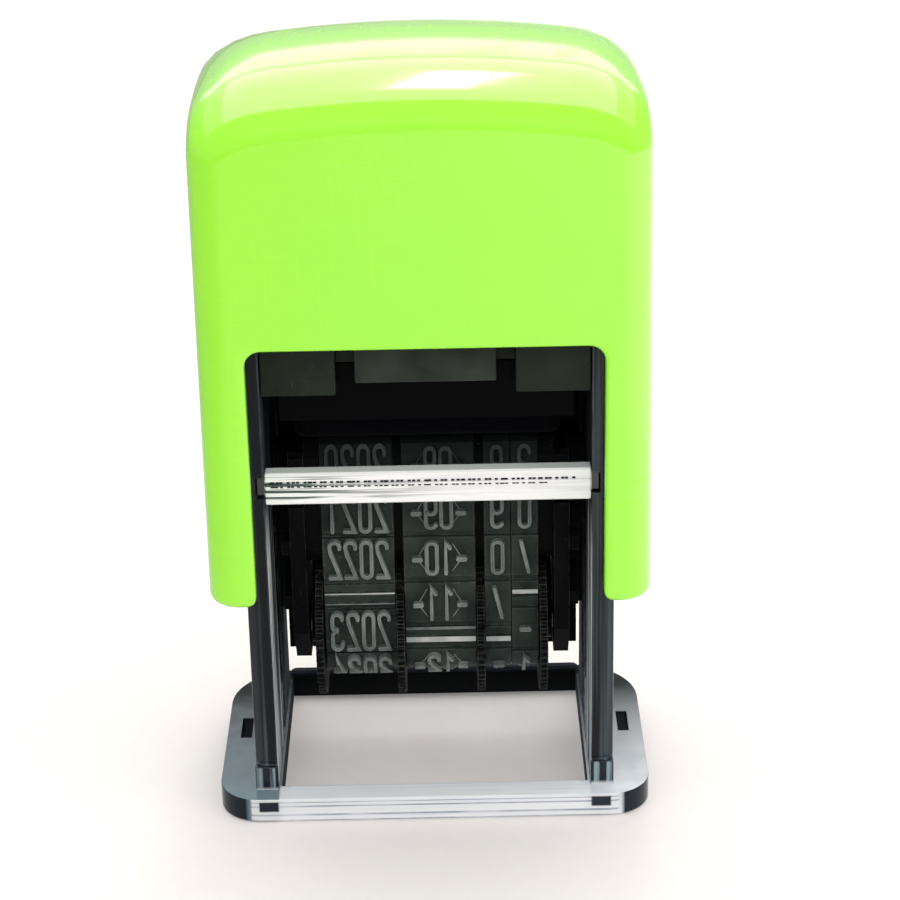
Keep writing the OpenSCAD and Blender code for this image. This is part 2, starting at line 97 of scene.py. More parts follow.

# %% [markdown]
# ## Shared effects
# Moulded plastic is never one flat colour: it has a fine grain, rubbed edges and a
# little dust; the paler edges also stand in for light, as painted highlight. Each of these
# is a node group that is built once and placed in several materials with its own values.
# The groups read object coordinates, so a grain keeps its real size in metres, and they
# only put out masks and heights.

# %% Helpers for node trees
def feed(tree, value, socket):
    """Sets a number or a colour on a socket, or links the output of another node to it."""
    if isinstance(value, (int, float)):
        socket.default_value = value
    elif isinstance(value, tuple):
        socket.default_value = (*value, 1.0)
    else:
        tree.links.new(value, socket)


def calc(tree, operation, *values, clamp=False):
    node = tree.nodes.new("ShaderNodeMath")
    node.operation = operation
    node.use_clamp = clamp
    for value, socket in zip(values, node.inputs):
        feed(tree, value, socket)
    return node.outputs[0]


def all_of(tree, *masks):
    """The product of several masks."""
    mask = masks[0]
    for other in masks[1:]:
        mask = calc(tree, "MULTIPLY", mask, other)
    return mask


def noise(tree, scale, detail=2.0, stretch=None, rough=0.5):
    """Noise with about scale waves in a metre; a small stretch draws it out along that axis."""
    place = tree.nodes.new("ShaderNodeTexCoord").outputs["Object"]
    if stretch:
        longer = tree.nodes.new("ShaderNodeMapping")
        longer.inputs["Scale"].default_value = stretch
        tree.links.new(place, longer.inputs["Vector"])
        place = longer.outputs["Vector"]
    node = tree.nodes.new("ShaderNodeTexNoise")
    for label, value in (("Vector", place), ("Scale", scale), ("Detail", detail), ("Roughness", rough)):
        feed(tree, value, node.inputs[label])
    return node.outputs["Fac"]


def spread(tree, value, low, high, to_low=0.0, to_high=1.0):
    """Maps the range from low to high of a value to the range from to_low to to_high."""
    node = tree.nodes.new("ShaderNodeMapRange")
    ends = (("From Min", low), ("From Max", high), ("To Min", to_low), ("To Max", to_high))
    for label, number in (("Value", value), *ends):
        feed(tree, number, node.inputs[label])
    return node.outputs["Result"]


def start_group(name, inputs, outputs):
    tree = bpy.data.node_groups.new(name, "ShaderNodeTree")
    for label, value in inputs:
        socket = tree.interface.new_socket(label, in_out="INPUT", socket_type="NodeSocketFloat")
        socket.default_value = value
    for label in outputs:
        tree.interface.new_socket(label, in_out="OUTPUT", socket_type="NodeSocketFloat")
    return tree, tree.nodes.new("NodeGroupInput"), tree.nodes.new("NodeGroupOutput")


# %% Node groups: grain, and edges for rubbed wear and painted highlight
grain, g_in, g_out = start_group("moulded_grain", [("Size", 0.0004), ("Cloud Size", 0.008)],
                                 ["Height", "Cloud"])
fine = noise(grain, calc(grain, "DIVIDE", 1.0, g_in.outputs["Size"]), 3.0)
cloud = noise(grain, calc(grain, "DIVIDE", 1.0, g_in.outputs["Cloud Size"]), 2.0)
grain.links.new(fine, g_out.inputs["Height"])
grain.links.new(spread(grain, cloud, 0.3, 0.7), g_out.inputs["Cloud"])

edge_wear_and_highlight, g_in, g_out = start_group("edge_wear_and_highlight", [("Width", 0.0002), ("Patch Size", 0.0012)], ["Mask"])
rounded = edge_wear_and_highlight.nodes.new("ShaderNodeBevel")
rounded.samples = 6
edge_wear_and_highlight.links.new(g_in.outputs["Width"], rounded.inputs["Radius"])
flat = edge_wear_and_highlight.nodes.new("ShaderNodeNewGeometry")
agree = edge_wear_and_highlight.nodes.new("ShaderNodeVectorMath")
agree.operation = "DOT_PRODUCT"
edge_wear_and_highlight.links.new(rounded.outputs["Normal"], agree.inputs[0])
edge_wear_and_highlight.links.new(flat.outputs["Normal"], agree.inputs[1])
turned = spread(edge_wear_and_highlight, agree.outputs["Value"], 0.995, 0.86)
patch = noise(edge_wear_and_highlight, calc(edge_wear_and_highlight, "DIVIDE", 1.0, g_in.outputs["Patch Size"]), 3.0)
rubbed = calc(edge_wear_and_highlight, "MULTIPLY", turned, spread(edge_wear_and_highlight, patch, 0.34, 0.62))
edge_wear_and_highlight.links.new(rubbed, g_out.inputs["Mask"])
print("groups:", grain.name, edge_wear_and_highlight.name)

# %% Node groups: dust and hairline scratches
dust, g_in, g_out = start_group("fine_dust", [("Speck Size", 0.0003), ("Share", 0.3)], ["Mask"])
speck = noise(dust, calc(dust, "DIVIDE", 1.0, g_in.outputs["Speck Size"]), 1.0)
drift = noise(dust, 160.0, 3.0)
face = dust.nodes.new("ShaderNodeNewGeometry")
tilt = dust.nodes.new("ShaderNodeSeparateXYZ")
dust.links.new(face.outputs["Normal"], tilt.inputs[0])
upward = spread(dust, tilt.outputs["Z"], -0.4, 1.0, 0.25, 1.0)
least = calc(dust, "SUBTRACT", 0.74, calc(dust, "MULTIPLY", 0.2, g_in.outputs["Share"]))
grains = spread(dust, speck, least, 0.78)
lying = all_of(dust, grains, upward, spread(dust, drift, 0.38, 0.66))
dust.links.new(lying, g_out.inputs["Mask"])

scratch, g_in, g_out = start_group("hairlines", [("Amount", 1.0)], ["Mask"])
lines_a = noise(scratch, 130.0, 2.0, (1.0, 1.0, 26.0))
lines_b = noise(scratch, 110.0, 2.0, (22.0, 3.0, 1.0))
both = calc(scratch, "MAXIMUM", spread(scratch, lines_a, 0.60, 0.68), spread(scratch, lines_b, 0.62, 0.70))
scratch.links.new(calc(scratch, "MULTIPLY", both, g_in.outputs["Amount"]), g_out.inputs["Mask"])
print("groups:", dust.name, scratch.name)

# %% [markdown]
# ## The finishes
# A finish is a material with one Principled shader. The helper below opens a material
# and hands back its tree and shader. Numbers that are the same all over go straight on
# the shader's sockets, and only colours, roughness and bump that change are linked.

# %% Helpers for materials
# Size of a speck, and the heights between which the rubber is painted darker, as painted shade under the
# cover
SPECK_SIZE = 0.00022
TOP_SHADE_LOW, TOP_SHADE_HIGH = 0.0270, 0.0345


def open_finish(name, **plain):
    material = bpy.data.materials.new(name)
    material.use_nodes = True
    tree = material.node_tree
    shader = tree.nodes["Principled BSDF"]
    for label, value in plain.items():
        shader.inputs[label.replace("_", " ")].default_value = value
    return material, tree, shader


def place_group(tree, group, **values):
    node = tree.nodes.new("ShaderNodeGroup")
    node.node_tree = group
    for label, value in values.items():
        node.inputs[label.replace("_", " ")].default_value = value
    return node.outputs


def blend_colours(tree, mask, first, second):
    """The first colour where the mask is 0, and the second where it is 1."""
    node = tree.nodes.new("ShaderNodeMix")
    node.data_type = "RGBA"
    for socket, value in ((node.inputs["Factor"], mask), (node.inputs[6], first), (node.inputs[7], second)):
        feed(tree, value, socket)
    return node.outputs[2]


def fade(tree, value, low, high, first, second):
    """Goes from one colour to another as a value goes from low to high."""
    return blend_colours(tree, spread(tree, value, low, high), first, second)


def bump(tree, shader, height, strength, distance):
    node = tree.nodes.new("ShaderNodeBump")
    node.inputs["Strength"].default_value = strength
    node.inputs["Distance"].default_value = distance
    tree.links.new(height, node.inputs["Height"])
    tree.links.new(node.outputs["Normal"], shader.inputs["Normal"])


def place_axis(tree, axis):
    apart = tree.nodes.new("ShaderNodeSeparateXYZ")
    tree.links.new(tree.nodes.new("ShaderNodeTexCoord").outputs["Object"], apart.inputs[0])
    return apart.outputs[axis]


def grained(tree, shader, height, rough, depth):
    """A fine grain: it varies the roughness and bumps the surface."""
    tree.links.new(spread(tree, height, 0.25, 0.75, *rough), shader.inputs["Roughness"])
    bump(tree, shader, height, 0.6, depth)


def moulded(name, dark, light, worn_lit_edge, rough, grain_size, depth, rub=0.0002, speckle=None, top_shade=None,
            **plain):
    """An opaque moulding: two close tones, paler edges for rubbed wear and painted highlight, dust, painted
    shade up high and a fine grain.
    """
    material, tree, shader = open_finish(name, **plain)
    texture = place_group(tree, grain, Size=grain_size, Cloud_Size=grain_size * 18)
    edges = place_group(tree, edge_wear_and_highlight, Width=rub, Patch_Size=rub * 6)
    colour = blend_colours(tree, texture["Cloud"], dark, light)
    colour = blend_colours(tree, edges["Mask"], colour, worn_lit_edge)
    if speckle:
        share, pale = speckle
        specks = place_group(tree, dust, Speck_Size=SPECK_SIZE, Share=share)
        colour = blend_colours(tree, specks["Mask"], colour, pale)
    if top_shade:
        # Painted shade: darker up towards the nose, under the cover
        painted_top_shade = spread(tree, place_axis(tree, "Z"), TOP_SHADE_LOW, TOP_SHADE_HIGH, 0.0, 0.85)
        colour = blend_colours(tree, painted_top_shade, colour, top_shade)
    tree.links.new(colour, shader.inputs["Base Color"])
    grained(tree, shader, texture["Height"], rough, depth)
    return material


# %% [markdown]
# ## Lime gloss
# The cover is plastic dyed right through and polished, so its colour is deep and its
# shine has two parts: a broad one from the body and a sharper one from the skin, which
# the coat gives. Hairlines raise the roughness and thin the coat. Little light gets past
# the frame into the real cover, so its inside is painted dark, as painted shade.

# %% Lime cover finish
LIME = (0.365, 0.95, 0.018)
LIME_DEEP = (0.335, 0.93, 0.013)
LIME_PALE = (0.46, 0.96, 0.13)
LIME_DUSTY = (0.62, 0.86, 0.42)
lime, tree, shader = open_finish("lime_gloss", IOR=1.49, Coat_IOR=1.72, Coat_Roughness=0.09)
peel = place_group(tree, grain, Size=0.0016, Cloud_Size=0.02)
marks = place_group(tree, scratch, Amount=0.6)
edges = place_group(tree, edge_wear_and_highlight, Width=0.0003, Patch_Size=0.004)
specks = place_group(tree, dust, Speck_Size=0.00025, Share=0.1)
tone = blend_colours(tree, peel["Cloud"], LIME_DEEP, LIME)
# Paler edges: rubbed wear, and painted highlight along the rounded edges
tone = blend_colours(tree, calc(tree, "MULTIPLY", edges["Mask"], 0.45), tone, LIME_PALE)
tone = blend_colours(tree, calc(tree, "MULTIPLY", specks["Mask"], 0.5), tone, LIME_DUSTY)
tree.links.new(tone, shader.inputs["Base Color"])
tree.links.new(spread(tree, marks["Mask"], 0.0, 1.0, 0.20, 0.30), shader.inputs["Roughness"])
tree.links.new(spread(tree, marks["Mask"], 0.0, 1.0, 0.95, 0.60), shader.inputs["Coat Weight"])
bump(tree, shader, peel["Height"], 0.25, 0.00002)
# The inside of the cover and the parts under it are painted dark green, as painted shade
shaded = moulded("lime_inside_painted_shade", (0.012, 0.030, 0.003), (0.020, 0.048, 0.005), (0.03, 0.07, 0.01),
                 (0.45, 0.60), 0.0004, 0.00001, Specular_IOR_Level=0.15)
print("finishes", lime.name, shaded.name)


# %% [markdown]
# ## Smoke and clear plastic
# The frame is tinted clear plastic: pale where it lies thin on the floor and nearly black
# where it stands deep. The tint is painted by place, from masks along the three axes and
# from the way a face looks, and it also carries painted light and shade: the plate paler
# to the right and darker to the rear, the rear bar and the rails' inner faces black as
# painted shade, a painted lit strip on the walls' inner faces and painted highlight along
# edges. Glass would also cast a black shadow, so the shader is mixed with a Transparent
# one for shadow rays only.

# %% Helpers for see-through plastic
def mix_shaders(tree, mask, first, second, output="Material Output"):
    """Shows the first shader where the mask is 0, and the second where it is 1."""
    either = tree.nodes.new("ShaderNodeMixShader")
    tree.links.new(mask, either.inputs["Fac"])
    tree.links.new(first, either.inputs[1])
    tree.links.new(second, either.inputs[2])
    tree.links.new(either.outputs["Shader"], tree.nodes[output].inputs["Surface"])


def see_through(name, ior, transmission, shade, haze):
    """Opens a see-through finish with a light film on it; its colour is linked later."""
    material, tree, shader = open_finish(name, IOR=ior, Transmission_Weight=transmission)
    film = place_group(tree, grain, Size=haze, Cloud_Size=haze * 12)
    lines = place_group(tree, scratch, Amount=0.8)
    specks = place_group(tree, dust, Speck_Size=0.0002, Share=0.25)
    mist = calc(tree, "MAXIMUM", calc(tree, "MULTIPLY", lines["Mask"], 0.5), specks["Mask"], clamp=True)
    gloss = spread(tree, mist, 0.0, 1.0, 0.06, 0.24)
    tree.links.new(gloss, shader.inputs["Roughness"])
    bump(tree, shader, film["Height"], 0.2, 0.00001)
    ray = tree.nodes.new("ShaderNodeLightPath")
    clear = tree.nodes.new("ShaderNodeBsdfTransparent")
    clear.inputs["Color"].default_value = (*shade, 1.0)
    mix_shaders(tree, ray.outputs["Is Shadow Ray"], shader.outputs["BSDF"], clear.outputs["BSDF"])
    return material, tree, shader, gloss


def facing(tree, axis):
    """How far a face looks along one axis, from -1 to 1."""
    way = tree.nodes.new("ShaderNodeSeparateXYZ")
    tree.links.new(tree.nodes.new("ShaderNodeNewGeometry").outputs["Normal"], way.inputs[0])
    return way.outputs[axis]


def step_up(tree, value, at, soft=0.0002):
    """0 below a place and 1 above it; with a negative soft the other way round."""
    return spread(tree, value, at - soft, at + soft)


def between(tree, value, low, high, soft=0.00008):
    return all_of(tree, step_up(tree, value, low, soft), step_up(tree, value, high, -soft))


# %% Smoke frame finish: masks by place, in metres
PLATE_TOP, PLATE_X, RIM_X, OPENING_X = 0.0027, 0.019, 0.0186, 0.0154
smoke, tree, shader, gloss = see_through("smoke_clear", 1.30, 0.28, (0.74, 0.76, 0.79), 0.0006)
x_at, y_at, z_at = (place_axis(tree, axis) for axis in "XYZ")
x_off = calc(tree, "ABSOLUTE", x_at)
to_front = step_up(tree, facing(tree, "Y"), -0.6, -0.1)
inward = step_up(tree, calc(tree, "MULTIPLY", facing(tree, "X"), calc(tree, "SIGN", x_at)), -0.65, -0.1)
upright_face = step_up(tree, facing(tree, "Z"), 0.6, -0.15)
above = step_up(tree, z_at, PLATE_TOP)
low_part = calc(tree, "SUBTRACT", 1.0, above)
streak = noise(tree, 1500.0, 2.0, (1.0, 1.0, 0.015))
cloudy = noise(tree, 260.0, 2.0)

# %% Smoke frame finish: the plate and its rim
PLATE_SHADED_LEFT, PLATE_LIT_RIGHT, PLATE_SHADED_REAR = (0.15, 0.23, 0.27), (0.90, 0.94, 0.99), (0.018, 0.024, 0.022)
# The plate is painted paler to the right and darker to the rear, as painted light and shade
plate = fade(tree, x_at, -PLATE_X, PLATE_X, PLATE_SHADED_LEFT, PLATE_LIT_RIGHT)
plate = fade(tree, y_at, -0.0115, 0.0085, plate, PLATE_SHADED_REAR)
plate = blend_colours(tree, spread(tree, cloudy, 0.40, 0.66, 0.0, 0.30), plate, (0.26, 0.34, 0.39))
rim_part = all_of(tree, upright_face, step_up(tree, x_off, RIM_X))
tone = blend_colours(tree, rim_part, plate, (0.004, 0.009, 0.016))

# %% Smoke frame finish: the front bar with its fine lines, and painted shade in two recesses
BAR_BACK_Y, BAR_END_X = -0.0109, 0.0182
BAR_PALE, BAR_FIBRE, BAR_LINE = (0.98, 0.985, 1.0), (0.88, 0.90, 0.96), (0.30, 0.34, 0.42)
# Height and half width of each line
LINES_AT = ((0.00008, 0.00008), (0.00072, 0.00009), (0.00168, 0.00007), (0.00212, 0.00004))
RECESS_SHADE_X, RECESS_SHADE_Z = (0.01545, 0.0174), (0.0011, 0.0022)
bar_span = calc(tree, "MULTIPLY", to_front, step_up(tree, x_off, BAR_END_X, -0.0001))
bar_span = calc(tree, "MAXIMUM", bar_span, step_up(tree, x_off, OPENING_X, -0.0001))
bar_part = all_of(tree, low_part, step_up(tree, y_at, BAR_BACK_Y, -0.0002), bar_span)
fibre = noise(tree, 2600.0, 2.0, (0.02, 1.0, 1.0))
bar_tone = fade(tree, fibre, 0.52, 0.66, BAR_PALE, BAR_FIBRE)
for height, width in LINES_AT:
    off_line = calc(tree, "ABSOLUTE", calc(tree, "SUBTRACT", z_at, height))
    line = spread(tree, off_line, width * 1.6, width * 0.6)
    broken = all_of(tree, line, to_front, spread(tree, cloudy, 0.3, 0.6, 0.4, 1.0))
    bar_tone = blend_colours(tree, broken, bar_tone, BAR_LINE)
# Two recesses in the front face are painted dark, as painted shade
painted_recess_shade = all_of(tree, to_front, between(tree, x_off, *RECESS_SHADE_X), between(tree, z_at, *RECESS_SHADE_Z))
bar_tone = blend_colours(tree, painted_recess_shade, bar_tone, (0.012, 0.016, 0.026))
tone = blend_colours(tree, bar_part, tone, bar_tone)

# %% Smoke frame finish: painted shade on the rear bar and the rails
REAR_Y, REAR_END_X, RAIL_X = 0.0112, 0.0165, 0.0160
rear_part = all_of(tree, low_part, step_up(tree, y_at, REAR_Y), step_up(tree, x_off, REAR_END_X, -0.0006))
rail_part = all_of(tree, low_part, inward, step_up(tree, x_off, RAIL_X, -0.0002))
painted_shade_part = calc(tree, "MAXIMUM", rear_part, rail_part)
# The rear bar and the low inner faces of the rails are painted nearly black, as painted shade
tone = blend_colours(tree, painted_shade_part, tone, (0.0015, 0.002, 0.0025))

# %% Smoke frame finish: the side walls
STRIP_END, STRIP_TOP, OUTER_X, FOOT_TOP = 0.0004, 0.0300, 0.0168, 0.0050
wall_tone = fade(tree, streak, 0.52, 0.68, (0.004, 0.006, 0.009), (0.065, 0.085, 0.10))
outer_half = step_up(tree, x_off, OUTER_X, 0.0006)
wall_tone = blend_colours(tree, calc(tree, "MULTIPLY", outer_half, 0.30), wall_tone, (0.05, 0.065, 0.08))
# Paler wall edges, painted highlight along them
edges = place_group(tree, edge_wear_and_highlight, Width=0.0003, Patch_Size=0.004)
wall_tone = blend_colours(tree, edges["Mask"], wall_tone, (0.26, 0.30, 0.33))
strip_part = all_of(tree, inward, step_up(tree, y_at, STRIP_END, -0.0010),
                    step_up(tree, z_at, STRIP_TOP, -0.0030))
# A streaky pale strip on the front of the walls' inner faces, a painted lit strip
painted_lit_strip = fade(tree, streak, 0.46, 0.60, (0.020, 0.026, 0.030), (0.86, 0.90, 0.90))
wall_tone = blend_colours(tree, strip_part, wall_tone, painted_lit_strip)
foot_part = all_of(tree, to_front, step_up(tree, z_at, FOOT_TOP, -0.0001))
foot_tone = fade(tree, streak, 0.48, 0.60, (0.010, 0.018, 0.024), (0.34, 0.43, 0.48))
wall_tone = blend_colours(tree, foot_part, wall_tone, foot_tone)
tree.links.new(blend_colours(tree, above, tone, wall_tone), shader.inputs["Base Color"])

# %% Smoke frame finish: matt inner faces
MATT = 0.95
inner_wall = calc(tree, "MULTIPLY", above, inward)
rear_plate = calc(tree, "MULTIPLY", spread(tree, y_at, 0.0, 0.011), low_part)
matt = calc(tree, "MAXIMUM", calc(tree, "MAXIMUM", inner_wall, painted_shade_part), rear_plate)
tree.links.new(calc(tree, "MAXIMUM", gloss, calc(tree, "MULTIPLY", matt, MATT)), shader.inputs["Roughness"])
print("finish", smoke.name, "with", len(tree.nodes), "nodes")

# %% Clear crossbar finish
LIP_LOW, LIP_HIGH, STUB_X = 0.03372, 0.03605, 0.01550
lit_milky_bar, tree, shader = see_through("clear_bar", 1.70, 0.10, (0.80, 0.82, 0.83), 0.0006)[:3]
z_at, x_at = place_axis(tree, "Z"), place_axis(tree, "X")
threads = noise(tree, 4200.0, 3.0, (0.02, 0.4, 1.0))
blots = noise(tree, 420.0, 3.0, (0.35, 1.0, 1.0))
# Dark threads and blots, thick on the left and thin on the right: painted shade for the dark inside seen
# through the bar
painted_refraction_dark = all_of(tree, spread(tree, threads, 0.45, 0.54), spread(tree, blots, 0.32, 0.46),
              spread(tree, x_at, -0.012, 0.002, 1.0, 0.12))
# The bar is painted near white, as painted light where it catches the lamps
tone = blend_colours(tree, painted_refraction_dark, (0.99, 0.99, 0.99), (0.03, 0.06, 0.055))
# The top and bottom lips are painted white, as painted highlight
lip_highlight = calc(tree, "MAXIMUM", step_up(tree, z_at, LIP_LOW, -0.00008), step_up(tree, z_at, LIP_HIGH, 0.0001))
tone = blend_colours(tree, lip_highlight, tone, (0.98, 0.985, 0.985))
stubs = step_up(tree, calc(tree, "ABSOLUTE", x_at), STUB_X, 0.00004)
tree.links.new(blend_colours(tree, stubs, tone, (0.012, 0.015, 0.016)), shader.inputs["Base Color"])
print("finish", lit_milky_bar.name, "with", len(tree.nodes), "nodes")

# %% [markdown]
# ## Mouldings, rubber, felt and steel
# The carriage and the wheels are black mouldings that show mostly by their pale edges,
# rubbed wear with painted highlight, and by dust, so one function makes them all from a
# few tones. Up near the nose the rubber and its figures are painted darker, as painted
# shade from the cover, and the figures are paler than the band, with pale specks of dust.
# The felt has almost no shine, and the steel has fine lines from drawing.

# %% Opaque mouldings and rubber
DULL = 0.035
black = moulded("black_moulded", (0.0022, 0.0024, 0.0026), (0.0045, 0.0048, 0.005), (0.035, 0.038, 0.040),
                (0.38, 0.52), 0.0003, 0.00001, rub=0.00014, speckle=(0.2, (0.09, 0.09, 0.085)),
                Specular_IOR_Level=DULL)
dark = moulded("dark_moulded", (0.011, 0.014, 0.010), (0.020, 0.025, 0.018), (0.07, 0.08, 0.07),
               (0.30, 0.44), 0.0003, 0.00001, rub=0.00016, speckle=(0.2, (0.10, 0.10, 0.09)),
               Specular_IOR_Level=0.10)
wheel = moulded("wheel_knurled", (0.002, 0.002, 0.0024), (0.004, 0.004, 0.005), (0.11, 0.115, 0.11),
                (0.34, 0.48), 0.00025, 0.00001, rub=0.00020, speckle=(0.3, (0.12, 0.12, 0.11)),
                Specular_IOR_Level=0.06)
rubber = moulded("band_rubber", (0.011, 0.016, 0.0135), (0.034, 0.044, 0.039), (0.12, 0.14, 0.135),
                 (0.50, 0.66), 0.00022, 0.00003, rub=0.00018, speckle=(0.6, (0.16, 0.17, 0.16)),
                 top_shade=(0.006, 0.007, 0.008), Specular_IOR_Level=0.16)
figure = moulded("figure_rubber", (0.075, 0.088, 0.083), (0.22, 0.24, 0.23), (0.44, 0.46, 0.45),
                 (0.46, 0.62), 0.00018, 0.00002, rub=0.00014, speckle=(0.5, (0.40, 0.41, 0.40)),
                 top_shade=(0.020, 0.024, 0.024), Specular_IOR_Level=0.25)
# Pale seam ridges, painted highlight
ridge_highlight = moulded("seam_ridge_highlight", (0.26, 0.28, 0.27), (0.62, 0.64, 0.63), (0.78, 0.80, 0.79),
                     (0.30, 0.46), 0.00016, 0.00001, rub=0.0001)
recess = moulded("recess_shade", (0.006, 0.008, 0.012), (0.012, 0.014, 0.020), (0.04, 0.045, 0.06),
                 (0.4, 0.6), 0.0003, 0.00001, Specular_IOR_Level=DULL)
print("mouldings:", [m.name for m in (black, dark, wheel, rubber, figure, ridge_highlight, recess)])

# %% Pull tab: behind its root the cartridge is painted near black, as painted shade
TAB_BACK = -0.0089
tab, tree, shader = open_finish("tab_moulded", Specular_IOR_Level=0.04)
texture = place_group(tree, grain, Size=0.0003, Cloud_Size=0.004)
edges = place_group(tree, edge_wear_and_highlight, Width=0.00022, Patch_Size=0.002)
face = blend_colours(tree, texture["Cloud"], (0.017, 0.021, 0.017), (0.038, 0.044, 0.037))
face = blend_colours(tree, edges["Mask"], face, (0.13, 0.14, 0.135))
# Behind the tab's root the cartridge is painted near black, as painted shade in the housing
face = fade(tree, place_axis(tree, "Y"), TAB_BACK, TAB_BACK - 0.0002, (0.0012, 0.0012, 0.0014), face)
tree.links.new(face, shader.inputs["Base Color"])
grained(tree, shader, texture["Height"], (0.30, 0.44), 0.00001)
print("finish", tab.name)

# %% Felt and steel
felt, tree, shader = open_finish("inked_felt", Sheen_Weight=0.02, Sheen_Roughness=0.6,
                                 Specular_IOR_Level=0.03)
hair = noise(tree, 5200.0, 4.0, (1.0, 1.0, 0.4), 0.7)
pool = noise(tree, 240.0, 3.0)
soak = fade(tree, pool, 0.35, 0.65, (0.0004, 0.0004, 0.0010), (0.0008, 0.0009, 0.0024))
soak = fade(tree, hair, 0.5, 0.8, soak, (0.0016, 0.0018, 0.005))
tree.links.new(soak, shader.inputs["Base Color"])
tree.links.new(spread(tree, pool, 0.3, 0.7, 0.45, 0.95), shader.inputs["Roughness"])
bump(tree, shader, hair, 0.9, 0.00008)

steel, tree, shader = open_finish("drawn_steel", Metallic=1.0)
drawn = noise(tree, 900.0, 3.0, (0.08, 1.0, 1.0))
bright = fade(tree, drawn, 0.3, 0.7, (0.42, 0.43, 0.45), (0.66, 0.67, 0.69))
tree.links.new(bright, shader.inputs["Base Color"])
tree.links.new(spread(tree, drawn, 0.3, 0.7, 0.20, 0.38), shader.inputs["Roughness"])
bump(tree, shader, drawn, 0.4, 0.000008)
print("finishes:", len(bpy.data.materials))

# %% [markdown]
# ## Making pieces
# Every new piece is a mesh from a list of points in millimetres and a list of faces.
# Most pieces are lofts: a row of sections with the same number of points, joined one to
# the next.

# %% Piece helpers
def add_piece(name, points, faces, body, slot, finishes, stands_for=None, sharp=35.0, kinds=None):
    mesh = bpy.data.meshes.new(name)
    mesh.from_pydata([(x * MM, y * MM, z * MM) for x, y, z in points], [], faces)
    for finish in finishes:
        mesh.materials.append(finish)
    if kinds:
        mesh.polygons.foreach_set("material_index", kinds)
    work = bmesh.new()
    work.from_mesh(mesh)
    bmesh.ops.remove_doubles(work, verts=work.verts, dist=1e-7)
    bmesh.ops.recalc_face_normals(work, faces=work.faces)
    work.to_mesh(mesh)
    work.free()
    mesh.shade_smooth()
    mesh.set_sharp_from_angle(angle=math.radians(sharp))
    piece = bpy.data.objects.new(name, mesh)
    scene.collection.objects.link(piece)
    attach(piece, body)
    if stands_for:
        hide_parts(stands_for)
    return piece


def mix(a, b, t):
    return a + (b - a) * t


def join_rings(faces, first, second, closed=True):
    count = len(first)
    for i in range(count if closed else count - 1):
        j = (i + 1) % count
        face = [first[i], first[j], second[j], second[i]]
        slim = [v for n, v in enumerate(face) if v not in face[:n]]
        if len(slim) > 2:
            faces.append(slim)


def loft(sections, closed=False):
    """Points and faces of a skin through sections; a closed one runs round in a loop."""
    count = len(sections[0])
    made = [point for section in sections for point in section]
    rings = [list(range(start, start + count)) for start in range(0, len(made), count)]
    skin = []
    for a, b in zip(rings, rings[1:] + rings[:1] if closed else rings[1:]):
        join_rings(skin, a, b)
    if not closed:
        skin += [rings[0][::-1], rings[-1]]
    return made, skin


def soften(name, width, finish):
    """Dresses a CAD solid: its flat triangles are merged and its edges rounded."""
    solid = nodes[name]
    solid.data.materials.clear()
    solid.data.materials.append(finish)
    weld = solid.modifiers.new("weld", "WELD")
    weld.merge_threshold = 1e-6
    merge = solid.modifiers.new("merge", "DECIMATE")
    merge.decimate_type = "DISSOLVE"
    merge.angle_limit = math.radians(0.5)
    edge = solid.modifiers.new("edge", "BEVEL")
    edge.width = width * MM
    edge.segments = 2
    edge.limit_method = "ANGLE"
    edge.angle_limit = math.radians(30)
    shade = solid.modifiers.new("shade", "WEIGHTED_NORMAL")
    shade.keep_sharp = True
    solid.data.shade_smooth()


# %% [markdown]
# ## The cover
# The real cover is one glossy moulding: a crowned top that falls away to soft edges, flat
# faces, tight round corners and two legs, open at the front and a little at the back. A
# boolean would leave poor faces at the windows, so the skin is woven instead: columns run
# up from the leg ends to the rim of a dome, and the windows are holes that are edged with
# their own rounded rings. The dome is drawn small and then grown along its normals by
# the corner radius, so the inside is the same weave with the wall taken off that radius.

# %% Cover measures, in millimetres
LEG_Z, COVER_T = 23.4, 1.8
WIN_X, WIN_R, FRONT_WIN_Z, REAR_WIN_Z = 16.6, 1.5, 49.7, 27.0
CAP_X, CAP_Y, CAP_Z = 18.05, 10.35, 72.77
EDGE_X, EDGE_Y, FALL_X, FALL_Y, FALL_END = 4.15, 4.257, 1.75, 2.66, math.radians(70)
CROWN_X, CROWN_Y = 1.4, 0.9
FOOT_X, BALL = 18.25, 3.0
CORNER_Z = CAP_Z - (FALL_X + FALL_Y) * (1 - math.cos(FALL_END)) - CROWN_X - CROWN_Y
SIDE_X = 17.6
FRONT_X = [0.0, 2.6, 5.2, 7.8, 10.4, 12.9, 14.15, 15.2, 16.5, SIDE_X]
FLAT_Y = CAP_Y - EDGE_Y * math.sin(FALL_END)
HALF_Y = [0.0, 3.2] + [FLAT_Y + EDGE_Y * math.sin(math.radians(a)) for a in (0, 14, 27, 39, 50, 60)]
SIDE_Y = [-y for y in HALF_Y[:0:-1]] + HALF_Y
TURNS_AT = [math.radians(11.25 * k) for k in range(9)]
ROWS = [23.4, 23.43, 23.52, 23.68, 23.92, 24.3, 24.7, 25.5, 26.5, 27.5, 28.6, 32.1, 35.5, 38.6,
        41.8, 45.0, 48.2, 49.2, 50.2, 51.3]
UPPER = [0.25, 0.5, 0.75, 1.0]
RIM_STEPS = 7
LEG_ROUND, LEG_ROUND_IN, FLARE_R = 0.9, 0.5, 1.2


def pinch(z, radius):
    return radius - math.sqrt(max(0.0, radius**2 - max(0.0, LEG_Z + radius - z) ** 2))


def radius_at(z, t):
    """Corner radius at depth t in the wall, squeezed together at the rounded leg ends."""
    outer, inner = pinch(z, LEG_ROUND), COVER_T - pinch(z, LEG_ROUND_IN)
    return BALL - mix(outer, inner, t / COVER_T)


